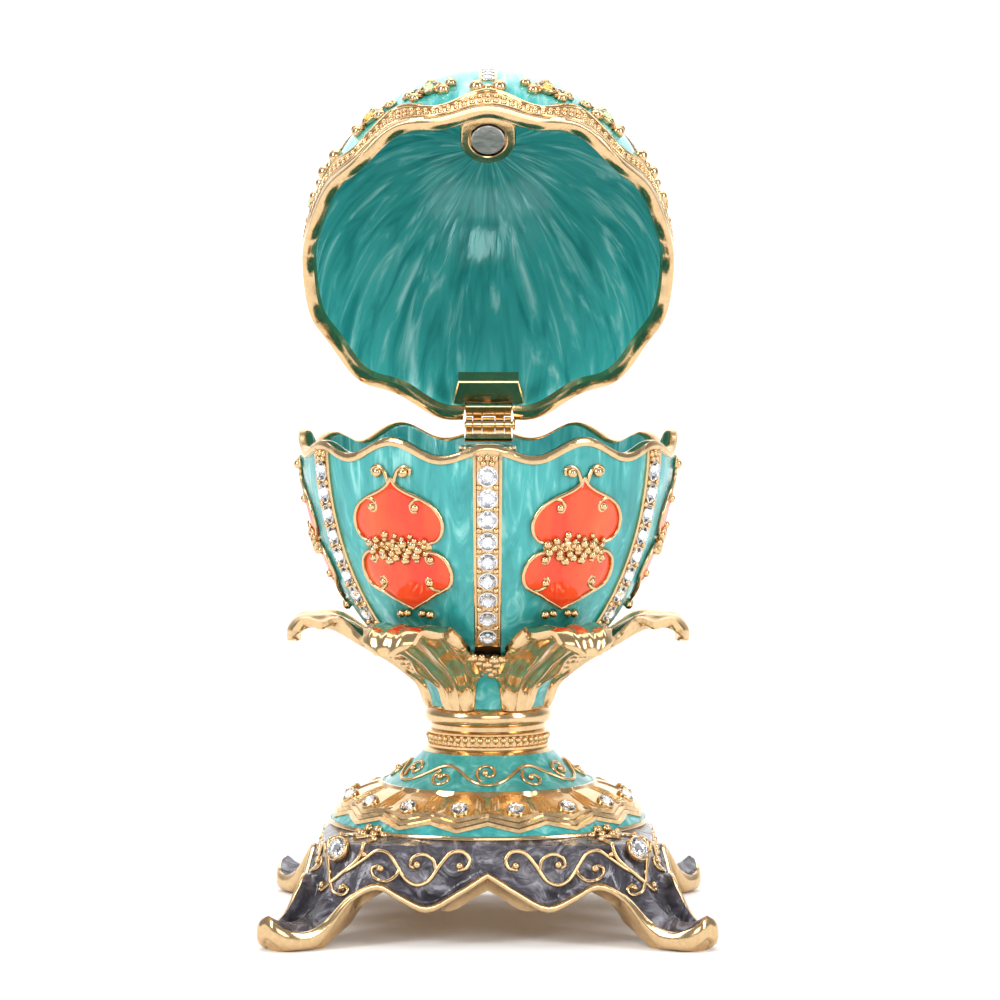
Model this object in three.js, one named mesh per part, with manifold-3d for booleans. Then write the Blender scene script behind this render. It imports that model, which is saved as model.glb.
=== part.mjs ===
// Jewelled egg trinket box: a gold-plated egg on a footed stand, with enamel panels and set stones.
// The hinged lid stands open. Millimetres, +Z up, the front faces -Y.
import * as THREE from 'three';
import { mergeVertices } from 'three/addons/utils/BufferGeometryUtils.js';
import Module from 'manifold-3d';

const wasm = await Module();
wasm.setup();

// ---- Driving dimensions -------------------------------------------------------------------

const panels = 6; // enamel panels of the egg, with a jewelled band between each two
const rimWaves = 12;

// Egg bowl
const eggRadius = 23.4;
const seamHeight = 60.4;
const bowlDepth = 31.4;
const bowlFullness = 1.85;
const bowlBase = 32.0;
const wall = 1.5;
const rimLip = 0.35;
const rimWaveHeight = 0.85;
const panelCrest = 0.4;

// Egg lid, measured as it sits when closed
const lidHeight = 30.5;
const lidFullness = 2.1;
const seamGap = 0.3;
const beltHeight = 4.6;
const beltSwag = 0.9;
const beltRaise = 0.5;
const lidOpening = 56.5; // degrees from closed, as it stands

// Jewelled bands and wire motifs
const bandHalfWidth = 1.7;
const bandRaise = 0.4;
const motifRaise = 0.45;

// Magnets in their bosses at the front of both rims
const magnetRadius = 2.12;
const magnetThickness = 1.5;
const bossRadius = 3.5;
const bossOffset = 19.2;
const fitGap = 0.3;

// Hinge
const hingeY = 24.6;
const hingeZ = 61.0;
const barrelRadius = 1.05;
const boreRadius = 0.62;
const pinRadius = 0.5;
const knuckleGap = 0.12;
const hingeLeafThickness = 0.6;
const hingeBay = 4.0; // half width of the bay that both rims leave for the barrel

// Stand
const standTop = 24.3;
const discHeight = 12.6;
const discRadius = 20.0;
const shoulderHalfSide = 20.4;
const shoulderSquareness = 5;
const shoulderHeight = 11.9;
const skirtWall = 1.9;
const chevrons = 16;

// Leaf cup
const leaves = 6;
const leafThickness = 1.1;

// ---- Helpers ------------------------------------------------------------------------------

const radians = THREE.MathUtils.degToRad;
const lerp = THREE.MathUtils.lerp;
const point = (x, y, z) => new THREE.Vector3(x, y, z);

// A point at an azimuth counted from the front towards +X.
const polar = (radius, azimuth, z) =>
  point(radius * Math.sin(azimuth), -radius * Math.cos(azimuth), z);

const range = (count) => Array.from({ length: count }, (_, i) => i);
const fractions = (count) => range(count + 1).map((i) => i / count);

function geometryOf(points, triangles) {
  const geometry = new THREE.BufferGeometry().setFromPoints(points);
  geometry.setIndex(triangles);
  return geometry;
}

// Skins a stack of rings, each counted anticlockwise from above, and caps both ends.
function loft(rings, firstCap, lastCap) {
  const count = rings[0].length;
  const points = [...rings.flat(), firstCap, lastCap];
  const triangles = [];
  const first = points.length - 2;
  const last = points.length - 1;
  const lastRing = (rings.length - 1) * count;
  for (const j of range(count)) {
    const next = (j + 1) % count;
    triangles.push(first, next, j);
    triangles.push(last, lastRing + j, lastRing + next);
    for (const i of range(rings.length - 1)) {
      const low = i * count;
      const high = low + count;
      triangles.push(low + j, low + next, high + next);
      triangles.push(low + j, high + next, high + j);
    }
  }
  return geometryOf(points, triangles);
}

// A closed plate between two grids of points, the outer one facing outwards.
function plate(outer, inner) {
  const rows = outer.length;
  const columns = outer[0].length;
  const points = [...outer.flat(), ...inner.flat()];
  const back = rows * columns;
  const triangles = [];
  const quad = (a, b, c, d) => triangles.push(a, b, c, a, c, d);
  for (const i of range(rows - 1)) {
    for (const j of range(columns - 1)) {
      const a = i * columns + j;
      quad(a, a + 1, a + 1 + columns, a + columns);
      quad(back + a + columns, back + a + 1 + columns, back + a + 1, back + a);
    }
    const left = i * columns;
    const right = left + columns - 1;
    quad(left, left + columns, back + left + columns, back + left);
    quad(right + columns, right, back + right, back + right + columns);
  }
  for (const j of range(columns - 1)) {
    const top = (rows - 1) * columns + j;
    quad(j + 1, j, back + j, back + j + 1);
    quad(top, top + 1, back + top + 1, back + top);
  }
  return geometryOf(points, triangles);
}

function lathe(profile, segments) {
  const geometry = new THREE.LatheGeometry(profile.map(([r, z]) => new THREE.Vector2(r, z)), segments);
  return geometry.rotateX(Math.PI / 2);
}

function cylinder(radius, height, sides = 16) {
  return new THREE.CylinderGeometry(radius, radius, height, sides).rotateX(Math.PI / 2);
}

function block(lowX, highX, lowY, highY, lowZ, highZ) {
  const geometry = new THREE.BoxGeometry(highX - lowX, highY - lowY, highZ - lowZ);
  return geometry.translate((lowX + highX) / 2, (lowY + highY) / 2, (lowZ + highZ) / 2);
}

function toManifold(geometry) {
  const bare = geometry.clone();
  bare.deleteAttribute('normal');
  bare.deleteAttribute('uv');
  const merged = mergeVertices(bare, 1e-4);
  return new wasm.Manifold(new wasm.Mesh({
    numProp: 3,
    vertProperties: new Float32Array(merged.attributes.position.array),
    triVerts: new Uint32Array(merged.index.array),
  }));
}

function toGeometry(solid) {
  const mesh = solid.getMesh();
  const geometry = new THREE.BufferGeometry();
  geometry.setAttribute('position', new THREE.BufferAttribute(mesh.vertProperties, 3));
  geometry.setIndex(new THREE.BufferAttribute(mesh.triVerts, 1));
  geometry.computeVertexNormals();
  return geometry;
}

const join = (...parts) => parts.map(toManifold).reduce((all, part) => all.add(part));
const cut = (solid, ...parts) =>
  parts.map(toManifold).reduce((rest, part) => rest.subtract(part), solid);

// ---- Egg surfaces -------------------------------------------------------------------------

// Crests face the bands and the panels. Those over the panels are a little taller.
const rimWave = (azimuth) =>
  rimWaveHeight * Math.cos(rimWaves * azimuth) - panelCrest * Math.cos(panels * azimuth);

const bowlRadius = (z) => {
  const depth = Math.max(0, (seamHeight - z) / bowlDepth);
  return eggRadius * Math.sqrt(1 - depth ** bowlFullness);
};

const lidRadius = (z) => {
  const rise = THREE.MathUtils.clamp((z - seamHeight) / lidHeight, 0, 1);
  return eggRadius * Math.sqrt(1 - rise ** lidFullness);
};

// Stations round the egg: five across each band, then five over the panel beside it.
const acrossBand = [[-1.15, 0], [-1, 1], [0, 1], [1, 1], [1.15, 0]];
const overPanel = [15, 22.5, 30, 37.5, 45];

// One ring of the egg. The bands stand out from it by the raise.
function eggRing(radiusAt, heightAt, raise) {
  return range(panels).flatMap((panel) => {
    const start = radians((360 / panels) * panel);
    const bandRadius = radiusAt(heightAt(start));
    const band = acrossBand.map(([share, up]) => [start + (share * bandHalfWidth) / bandRadius, up]);
    const rest = overPanel.map((degrees) => [start + radians(degrees), 0]);
    return [...band, ...rest].map(([azimuth, up]) => {
      const z = heightAt(azimuth);
      return polar(radiusAt(z) + up * raise, azimuth, z);
    });
  });
}

// ---- Egg bowl -----------------------------------------------------------------------------

function bowlOutside() {
  const rings = [0, 0.08, 0.2, 0.37, 0.57, 0.78, 0.97].map((f) => {
    const heightAt = (azimuth) => lerp(bowlBase, seamHeight, f) + rimWave(azimuth) * f ** 3;
    return eggRing(bowlRadius, heightAt, bandRaise);
  });
  const lip = (rise) =>
    eggRing(() => eggRadius + rimLip, (azimuth) => seamHeight + rise + rimWave(azimuth), 0);
  rings.push(lip(-0.5), lip(0));
  return loft(rings, point(0, 0, bowlBase), point(0, 0, seamHeight));
}

const bowlFloor = bowlBase + wall;

function bowlHollow() {
  const floorRadius = 8.2;
  const profile = [[0, bowlFloor], [floorRadius, bowlFloor]];
  for (const f of [0.08, 0.26, 0.5, 0.8]) {
    const z = lerp(bowlFloor, seamHeight, f);
    profile.push([bowlRadius(z) - wall, z]);
  }
  const mouth = eggRadius - wall;
  profile.push([mouth, seamHeight], [mouth, seamHeight + 4], [0, seamHeight + 4]);
  return lathe(profile, 24);
}

// Two onion shapes tip to tail, as rows of height and half width.
const motifRows = [
  [39.7, 0.3], [42.0, 4.3], [44.3, 6.9], [47.2, 4.3], [50.5, 6.9], [53.8, 2.7], [55.8, 0.3],
];

// The raised patch that carries the wirework of one panel.
function motif(azimuth) {
  const grid = (offset) => motifRows.map(([z, halfWidth]) => [-1, 0, 1].map((side) => {
    const radius = bowlRadius(z);
    return polar(radius + offset, azimuth + (side * halfWidth) / radius, z);
  }));
  return plate(grid(motifRaise), grid(-wall / 2));
}

const bossPlace = (z) => [0, -bossOffset, z];

function eggBowl() {
  const shell = cut(toManifold(bowlOutside()), bowlHollow());
  const motifs = range(panels).map((i) => motif(radians((360 / panels) * (i + 0.5))));
  const bossTop = seamHeight + 0.2;
  const boss = cylinder(bossRadius, 4).translate(...bossPlace(bossTop - 2));
  const shelf = block(-hingeBay - 0.8, hingeBay + 0.8, 19.4, 22.6, 57.2, 59.4);
  const solid = join(boss, shelf, ...motifs).add(shell);
  const pocketDepth = magnetThickness + fitGap;
  const pocket = cylinder(magnetRadius + fitGap, 2 * pocketDepth).translate(...bossPlace(bossTop));
  const bay = block(-hingeBay, hingeBay, 18, 30, 59.4, 66);
  return toGeometry(cut(solid, pocket, bay));
}

// ---- Egg lid, in its closed place -----------------------------------------------------------

function lidOutside() {
  const belt = (rise, swag, raise) => {
    const heightAt = (azimuth) =>
      seamHeight + seamGap + rise + rimWave(azimuth) + swag * Math.cos(rimWaves * azimuth);
    return eggRing((z) => lidRadius(z) + raise, heightAt, 0);
  };
  const dome = [0.36, 0.53, 0.69, 0.82, 0.92, 0.98].map((f) =>
    eggRing(lidRadius, () => seamHeight + lidHeight * f, bandRaise));
  const rings = [
    belt(0, 0, rimLip), belt(1.5, 0, rimLip), belt(1.9, 0, beltRaise),
    belt(beltHeight, beltSwag, beltRaise), belt(beltHeight + 0.4, beltSwag, 0), ...dome,
  ];
  return loft(rings, point(0, 0, seamHeight), point(0, 0, seamHeight + lidHeight));
}

function lidHollow() {
  const mouth = eggRadius - wall;
  const profile = [[0, seamHeight - 4], [mouth, seamHeight - 4], [mouth, seamHeight + 2]];
  for (const f of [0.25, 0.47, 0.66, 0.82, 0.92]) {
    const z = seamHeight + lidHeight * f;
    profile.push([lidRadius(z) - wall, z]);
  }
  profile.push([0, seamHeight + lidHeight - 1.2 * wall]);
  return lathe(profile, 24);
}

// The flange that carries the hinge leaf: a trapezium inside the rim with an arched bay.
function hingeFlange() {
  const outline = new THREE.Shape();
  outline.moveTo(-4.9, 22.4);
  outline.lineTo(4.9, 22.4);
  outline.lineTo(3.9, 17.9);
  outline.lineTo(-3.9, 17.9);
  const flange = new THREE.ExtrudeGeometry(outline, { depth: 2.2, bevelEnabled: false });
  return flange.translate(0, 0, seamHeight + 0.9);
}

function archedBay() {
  const outline = new THREE.Shape();
  outline.moveTo(-hingeBay, 30);
  outline.lineTo(-hingeBay, 22.4);
  outline.quadraticCurveTo(0, 17.6, hingeBay, 22.4);
  outline.lineTo(hingeBay, 30);
  const top = hingeZ + 1.5;
  const bay = new THREE.ExtrudeGeometry(outline, { depth: 8, bevelEnabled: false, curveSegments: 6 });
  return bay.translate(0, 0, top - 8);
}

function eggLid() {
  const shell = cut(toManifold(lidOutside()), lidHollow());
  const bossFace = seamHeight + 0.8;
  const boss = cylinder(bossRadius, 3.6).translate(...bossPlace(bossFace + 1.8));
  const solid = join(boss, hingeFlange()).add(shell);
  const pocketDepth = magnetThickness + fitGap;
  const pocket = cylinder(magnetRadius + fitGap, 2 * pocketDepth).translate(...bossPlace(bossFace));
  return toGeometry(cut(solid, pocket, archedBay()));
}

// ---- Magnets --------------------------------------------------------------------------------

const magnet = (z) => cylinder(magnetRadius, magnetThickness).translate(...bossPlace(z));
const bowlMagnet = () => magnet(seamHeight + 0.2 - magnetThickness / 2);
const lidMagnet = () => magnet(seamHeight + 0.8 + magnetThickness / 2);

// ---- Hinge ----------------------------------------------------------------------------------

const knuckleWidths = [0.95, 1.2, 1.7, 1.2, 0.95];
const barrelLength = knuckleWidths.reduce((sum, width) => sum + width);

// The stretch of barrel that one knuckle fills, with a little air on both sides.
function knuckleSpan(index) {
  const before = knuckleWidths.slice(0, index).reduce((sum, width) => sum + width, 0);
  const start = before - barrelLength / 2;
  return [start + knuckleGap / 2, start + knuckleWidths[index] - knuckleGap / 2];
}

function alongHinge(radius, low, high, sides) {
  const rod = new THREE.CylinderGeometry(radius, radius, high - low, sides).rotateZ(Math.PI / 2);
  return rod.translate((low + high) / 2, hingeY, hingeZ);
}

// Knuckles and a leaf whose inner face is at the given height.
function hingeLeaf(indices, lowZ, depth) {
  const inset = hingeY - barrelRadius - 0.3;
  const highZ = lowZ + hingeLeafThickness;
  const half = barrelLength / 2;
  const pieces = indices.flatMap((index) => {
    const [low, high] = knuckleSpan(index);
    return [
      alongHinge(barrelRadius, low, high, 10),
      block(low, high, inset - 0.2, hingeY - 0.2, lowZ, highZ),
    ];
  });
  const solid = join(block(-half, half, inset - depth, inset, lowZ, highZ), ...pieces);
  return toGeometry(cut(solid, alongHinge(boreRadius, -half - 1, half + 1, 8)));
}

const bowlHingeLeaf = () => hingeLeaf([0, 2, 4], hingeZ - 1.3, 3.0);
const lidHingeLeaf = () => hingeLeaf([1, 3], hingeZ + 0.6, 1.2);

function hingePin() {
  const half = barrelLength / 2 + 0.15;
  const head = alongHinge(0.8, half, half + 0.4, 10);
  return toGeometry(join(alongHinge(pinRadius, -half, half + 0.1, 8), head));
}

// ---- Stand ----------------------------------------------------------------------------------

// Lower edge of the enamel over half a face, from the centre cusp to the tip of the toe.
// Each point is along the face, out from the axis, and up.
const skirtEdge = new THREE.CatmullRomCurve3([
  point(0, 22.3, 9.0), point(3.6, 22.9, 6.8), point(7.4, 23.2, 5.0), point(10.6, 23.0, 6.3),
  point(13.4, 22.8, 7.7), point(16.6, 23.5, 6.3), point(19.2, 25.0, 3.6), point(21.4, 26.5, 2.4),
  point(23.6, 27.6, 2.6), point(25.7, 27.6, 3.6), point(26.7, 26.7, 4.3),
]);
const toeStart = radians(33);
const footness = (azimuth) => THREE.MathUtils.smoothstep(azimuth, toeStart, Math.PI / 4);

function shoulderRadius(azimuth) {
  const n = shoulderSquareness;
  return shoulderHalfSide / (Math.cos(azimuth) ** n + Math.sin(azimuth) ** n) ** (1 / n);
}

const outAt = (azimuth, radius, z) =>
  point(radius * Math.sin(azimuth), radius * Math.cos(azimuth), z);

// One line of the skirt at a fraction of half a face, from the hollow round the edge to the disc.
function skirtLine(fraction) {
  const edge = skirtEdge.getPoint(fraction);
  const along = skirtEdge.getTangent(fraction);
  if (fraction === 0) along.set(1, 0, 0);
  if (fraction === 1) along.set(1, -1, 0);
  along.setZ(0).normalize();
  const outward = point(-along.y, along.x, 0);
  const azimuth = Math.atan2(edge.x, edge.y);
  const foot = footness(azimuth);

  const band = lerp(0.9, 2.9, THREE.MathUtils.smoothstep(fraction, 0.45, 0.7));
  const lip = edge.clone().addScaledVector(outward, 0.3).setZ(Math.max(0, edge.z - band));
  const inner = lip.clone().addScaledVector(outward, -skirtWall);
  inner.z = Math.max(0, lip.z - 1.7 * foot);

  const top = outAt(azimuth, shoulderRadius(azimuth), shoulderHeight);
  const edgeRadius = Math.hypot(edge.x, edge.y);
  const topRadius = shoulderRadius(azimuth);
  const flare = (share, z) => outAt(azimuth, lerp(topRadius, edgeRadius, share), z);
  const outside = new THREE.CubicBezierCurve3(
    top, flare(0.11, lerp(shoulderHeight, edge.z, 0.88)), flare(0.55, edge.z - 3.2 * foot), edge);

  const innerAzimuth = Math.atan2(inner.x, inner.y);
  const roof = outAt(innerAzimuth, shoulderRadius(innerAzimuth) - skirtWall, shoulderHeight - 1.6);
  const innerRadius = Math.hypot(inner.x, inner.y);
  const roofRadius = Math.hypot(roof.x, roof.y);
  const under = (share, z) => outAt(innerAzimuth, lerp(roofRadius, innerRadius, share), z);
  const inside = new THREE.CubicBezierCurve3(
    roof, under(0.11, lerp(roof.z, inner.z, 0.75)), under(0.55, inner.z + 0.3), inner);

  const disc = outAt(azimuth, discRadius - 0.4, discHeight);
  return [
    roof, inside.getPoint(0.5), inner, lip, edge,
    outside.getPoint(0.75), outside.getPoint(0.5), outside.getPoint(0.25), top, disc,
  ];
}

function skirt() {
  const steps = 10;
  const lines = [];
  for (const face of range(4)) {
    const turn = radians(90 * face);
    for (let k = -steps; k < steps; k += 1) {
      const line = skirtLine(Math.abs(k) / steps);
      const side = Math.sign(k) || 1;
      lines.push(line.map((p) => point(side * p.x, -p.y, p.z).applyAxisAngle(point(0, 0, 1), turn)));
    }
  }
  const rings = lines[0].map((_, level) => lines.map((line) => line[level]));
  return loft(rings, point(0, 0, shoulderHeight - 0.8), point(0, 0, discHeight));
}

// Rings of the round top: radius, height, and how far the radius draws in between the chevrons.
const topRings = [
  [17.6, 11.4, 0], [20.0, 12.5, 0], [20.15, 12.9, 0], [19.9, 13.3, 0], [19.4, 13.4, 1.25],
  [19.3, 14.3, 1.25], [18.0, 14.6, 1.25], [17.9, 15.4, 1.25], [16.5, 15.8, 1.25],
  [16.4, 16.6, 1.25], [13.3, 17.5, 0], [10.4, 19.4, 0], [8.1, 21.5, 0], [7.5, 22.1, 0],
  [7.75, 22.5, 0], [7.75, 23.9, 0], [7.3, standTop, 0],
];

function roundTop() {
  const rings = topRings.map(([radius, z, draw]) => range(2 * chevrons).map((i) => {
    const azimuth = (Math.PI / chevrons) * i;
    return polar(i % 2 ? radius : radius - draw, azimuth, z);
  }));
  return loft(rings, point(0, 0, 11.4), point(0, 0, standTop));
}

const chevronSlope = radians(35);
const chevronStoneRadius = 0.95;
const chevronAzimuth = (index) => radians((360 / chevrons) * (index + 0.5));

// Stands a shape made along +Z on the slope of the chevron ring.
function ontoChevron(geometry, index) {
  const seat = polar(17.5, chevronAzimuth(index), 15.9);
  return geometry.rotateX(chevronSlope).rotateZ(chevronAzimuth(index)).translate(seat.x, seat.y, seat.z);
}

// Stands an upright shape on the skirt's corner, leaning back a little.
const cornerLean = radians(62);
const cornerAzimuth = (index) => radians(45 + 90 * index);

function ontoCorner(geometry, index) {
  const seat = polar(25.8, cornerAzimuth(index), 11.2);
  return geometry.rotateX(cornerLean).rotateZ(cornerAzimuth(index)).translate(seat.x, seat.y, seat.z);
}

const cornerCollet = (index) =>
  ontoCorner(cylinder(1, 2, 8).scale(1.5, 1.85, 1).translate(0, 0, -1), index);

function stand() {
  return toGeometry(join(skirt(), roundTop(), ...range(4).map(cornerCollet)));
}

// ---- Leaf cup -------------------------------------------------------------------------------

function cupBody() {
  const seat = bowlBase - fitGap;
  const hug = (z) => bowlRadius(z) + fitGap;
  return lathe([
    [0, standTop], [7.2, standTop], [7.2, 24.9], [7.8, 25.2], [8.05, 26.0], [7.8, 26.8],
    [7.3, 27.2], [8.0, 29.6], [9.8, 31.8], [13.2, 34.1],
    [hug(34.4), 34.4], [hug(33.2), 33.2], [hug(seat), seat], [0, seat],
  ], 24);
}

// The middle line of a leaf, as radius and height, rising from the ring and curling over.
const leafLine = new THREE.CatmullRomCurve3([
  point(7.3, 0, 27.2), point(8.3, 0, 30.1), point(11.0, 0, 32.7), point(14.6, 0, 34.9),
  point(18.0, 0, 37.1), point(20.8, 0, 38.1), point(22.8, 0, 37.5), point(23.5, 0, 36.1),
]);

// Half width along the leaf, with a lobed edge.
function leafHalfWidth(s) {
  const body = lerp(2.0, 1.3, s) + 4.4 * Math.sin(Math.PI * Math.min(1, s * 1.08)) ** 1.2;
  return body * (1 + 0.07 * Math.cos(6 * Math.PI * s));
}

function leaf(index) {
  const azimuth = radians((360 / leaves) * (index + 0.5));
  const grid = (depth) => fractions(7).map((s) => {
    const middle = leafLine.getPoint(s);
    const run = leafLine.getTangent(s);
    return fractions(4).map((f) => {
      const t = 2 * f - 1;
      const rib = depth > 0 ? 0.25 * Math.cos(2 * Math.PI * t) * Math.sin(Math.PI * s) : 0;
      const out = depth + rib - 0.4 * s * t * t;
      const radius = middle.x + run.z * out;
      const across = (leafHalfWidth(s) * t) / Math.max(radius, 6);
      return polar(radius, azimuth + across, middle.z - run.x * out);
    });
  });
  return plate(grid(leafThickness / 2), grid(-leafThickness / 2));
}

function leafCup() {
  const bowlRoom = lathe([
    [0, bowlBase - fitGap], ...fractions(5).map((f) => {
      const z = lerp(bowlBase - fitGap, 44, f);
      return [bowlRadius(z) + fitGap + motifRaise, z];
    }), [0, 44],
  ], 24);
  return toGeometry(cut(join(cupBody(), ...range(leaves).map(leaf)), bowlRoom));
}

// ---- Stones ---------------------------------------------------------------------------------

// A cut stone with its flat back at z = 0, a sloping crown and a flat table.
const stone = (radius, height, sides) =>
  lathe([[0, 0], [radius, 0], [0.6 * radius, height], [0, height]], sides);

const stoneLift = 0.05;
const chevronStone = (index) =>
  ontoChevron(stone(chevronStoneRadius, 0.7, 6).translate(0, 0, stoneLift), index);
const cornerStone = (index) =>
  ontoCorner(stone(1, 1.1, 8).scale(1.25, 1.6, 1).translate(0, 0, stoneLift), index);

// ---- Assembly -------------------------------------------------------------------------------

const finish = {
  gold: { color: 0xd9b36c, roughness: 0.25, metalness: 1 },
  teal: { color: 0x45aca6, roughness: 0.25, metalness: 0 },
  charcoal: { color: 0x55555f, roughness: 0.3, metalness: 0.2 },
  steel: { color: 0xa9a8a2, roughness: 0.35, metalness: 1 },
  crystal: { color: 0xf2f4f6, roughness: 0.05, metalness: 0 },
};

function piece(name, geometry, look) {
  const mesh = new THREE.Mesh(geometry, new THREE.MeshStandardMaterial(finish[look]));
  mesh.name = name;
  return mesh;
}

const lid = new THREE.Group();
lid.add(piece('egg_lid', eggLid(), 'teal'));
lid.add(piece('lid_hinge_leaf', lidHingeLeaf(), 'gold'));
lid.add(piece('lid_magnet', lidMagnet(), 'steel'));
lid.children.forEach((mesh) => mesh.geometry.translate(0, -hingeY, -hingeZ));
lid.position.set(0, hingeY, hingeZ);
lid.rotation.x = -radians(lidOpening);

const box = new THREE.Group();
box.add(piece('stand', stand(), 'charcoal'));
box.add(piece('leaf_cup', leafCup(), 'gold'));
box.add(piece('egg_bowl', eggBowl(), 'teal'));
box.add(piece('bowl_hinge_leaf', bowlHingeLeaf(), 'gold'));
box.add(piece('hinge_pin', hingePin(), 'gold'));
box.add(piece('bowl_magnet', bowlMagnet(), 'steel'));
box.add(lid);

const corners = ['front_right', 'back_right', 'back_left', 'front_left'];
corners.forEach((corner, i) => box.add(piece(`corner_stone_${corner}`, cornerStone(i), 'crystal')));
range(chevrons).forEach((i) => {
  const number = String(i + 1).padStart(2, '0');
  box.add(piece(`chevron_stone_${number}`, chevronStone(i), 'crystal'));
});

// The open lid reaches back past the feet, so the origin is put under the middle of the whole.
const bounds = new THREE.Box3().setFromObject(box, true);
box.position.y = -(bounds.min.y + bounds.max.y) / 2;

const model = new THREE.Group();
model.add(box);

export default model;
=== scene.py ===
# Jewelled egg trinket box, open: a gold-plated casting on four curled feet, enamelled in charcoal,
# teal and orange, with foil-backed stones. Lengths are millimetres from the egg's upright axis.
import math
import bmesh
import bpy
from mathutils import Matrix, Vector
from mathutils.bvhtree import BVHTree


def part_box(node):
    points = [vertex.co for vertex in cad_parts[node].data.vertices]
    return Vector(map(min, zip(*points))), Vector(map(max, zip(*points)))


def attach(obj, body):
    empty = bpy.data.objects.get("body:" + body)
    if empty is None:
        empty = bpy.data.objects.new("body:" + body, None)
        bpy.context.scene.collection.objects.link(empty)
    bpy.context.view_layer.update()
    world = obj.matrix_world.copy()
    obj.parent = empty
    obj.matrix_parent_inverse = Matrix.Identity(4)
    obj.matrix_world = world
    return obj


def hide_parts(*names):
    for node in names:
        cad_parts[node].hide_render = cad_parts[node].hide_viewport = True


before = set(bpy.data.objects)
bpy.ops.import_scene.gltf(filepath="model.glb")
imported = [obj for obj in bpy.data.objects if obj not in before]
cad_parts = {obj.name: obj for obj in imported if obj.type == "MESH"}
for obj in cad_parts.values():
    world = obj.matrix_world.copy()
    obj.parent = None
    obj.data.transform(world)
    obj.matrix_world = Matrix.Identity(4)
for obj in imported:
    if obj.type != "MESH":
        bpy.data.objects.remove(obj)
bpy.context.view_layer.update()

# ---- Stand casting --------------------------------------------------------------------------
# The foot is one hollow casting, gold plated all over. Charcoal enamel is fired on the skirt, teal
# on the disc and the cone; the skirt's rolled edge, the petal ring and the neck stay bare gold.

stand_low, stand_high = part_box("stand")
axis_y = (stand_low.y + stand_high.y) / 2
skirt_wall = 1.5
shoulder_height = 11.9
shoulder_half = 20.4
petals = 16


def round_axis(radius, azimuth, height):
    """A point at an azimuth counted from the front towards +X."""
    return Vector((radius * math.sin(azimuth), -radius * math.cos(azimuth), height))


def turned(point, angle):
    return Matrix.Rotation(angle, 3, "Z") @ Vector(point)


def between(a, b, share):
    return a + (b - a) * share


def eased(value, low, high):
    share = min(1.0, max(0.0, (value - low) / (high - low)))
    return share * share * (3 - 2 * share)


def smooth_line(knots):
    """The even curve through the knots, as a function of 0 to 1."""
    knots = [Vector(k) for k in knots]
    run = [knots[0] * 2 - knots[1], *knots, knots[-1] * 2 - knots[-2]]

    def at(share):
        place = min(max(share, 0.0), 0.999999) * (len(knots) - 1)
        i = int(place)
        t = place - i
        a, b, c, d = run[i:i + 4]
        ab, bc, cd = ((q - p).length ** 0.5 or 1e-4 for p, q in ((a, b), (b, c), (c, d)))
        leave = ((b - a) / ab - (c - a) / (ab + bc) + (c - b) / bc) * bc
        reach = ((c - b) / bc - (d - b) / (bc + cd) + (d - c) / cd) * bc
        return (b * (2 * t**3 - 3 * t**2 + 1) + leave * (t**3 - 2 * t**2 + t)
                + c * (3 * t**2 - 2 * t**3) + reach * (t**3 - t**2))

    return at


def new_form():
    return {"points": [], "faces": [], "slots": []}


def lay_skin(form, rings, low_cap, high_cap, slots):
    """Skins a stack of rings counted anticlockwise from above, and closes both ends."""
    start = len(form["points"])
    count = len(rings[0])
    for ring in rings:
        form["points"].extend(ring)
    form["points"].extend([low_cap, high_cap])
    low = start + len(rings) * count
    last = start + (len(rings) - 1) * count
    for j in range(count):
        k = (j + 1) % count
        form["faces"].append((low, start + k, start + j))
        form["slots"].append(slots[0])
        form["faces"].append((low + 1, last + j, last + k))
        form["slots"].append(slots[-1])
    for i in range(len(rings) - 1):
        a, b = start + i * count, start + (i + 1) * count
        for j in range(count):
            k = (j + 1) % count
            form["faces"].append((a + j, a + k, b + k, b + j))
            form["slots"].append(slots[i])


def in_place(point):
    return (point[0] * 0.001, point[1] * 0.001 + axis_y, point[2] * 0.001)


def make_piece(name, form, finishes, sharp=35, flow=None):
    """Makes one piece from a form. The flow says which way its enamel ran."""
    mesh = bpy.data.meshes.new(name)
    mesh.from_pydata([in_place(p) for p in form["points"]], [], form["faces"])
    for finish in finishes:
        mesh.materials.append(finish)
    if form["slots"]:
        mesh.polygons.foreach_set("material_index", form["slots"])
    mesh.polygons.foreach_set("use_smooth", [True] * len(mesh.polygons))
    mesh.set_sharp_from_angle(angle=math.radians(sharp))
    run = mesh.attributes.new("flow", "FLOAT_VECTOR", "POINT")
    ways = [c for p in form["points"] for c in (flow(p) if flow else Vector(p) * 0.1)]
    run.data.foreach_set("vector", ways)
    mesh.update()
    piece = bpy.data.objects.new(name, mesh)
    bpy.context.scene.collection.objects.link(piece)
    return piece


def joined(tree, start, out, end, into):
    tree.links.new(start.outputs[out], end.inputs[into])


def added(tree, kind, **values):
    """A new node, with the values of its sockets by name."""
    node = tree.nodes.new(kind)
    for socket, value in values.items():
        node.inputs[socket.replace("_", " ")].default_value = value
    return node


def new_finish(name):
    finish = bpy.data.materials.new(name)
    finish.use_nodes = True
    return finish, finish.node_tree, finish.node_tree.nodes["Principled BSDF"]


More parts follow.
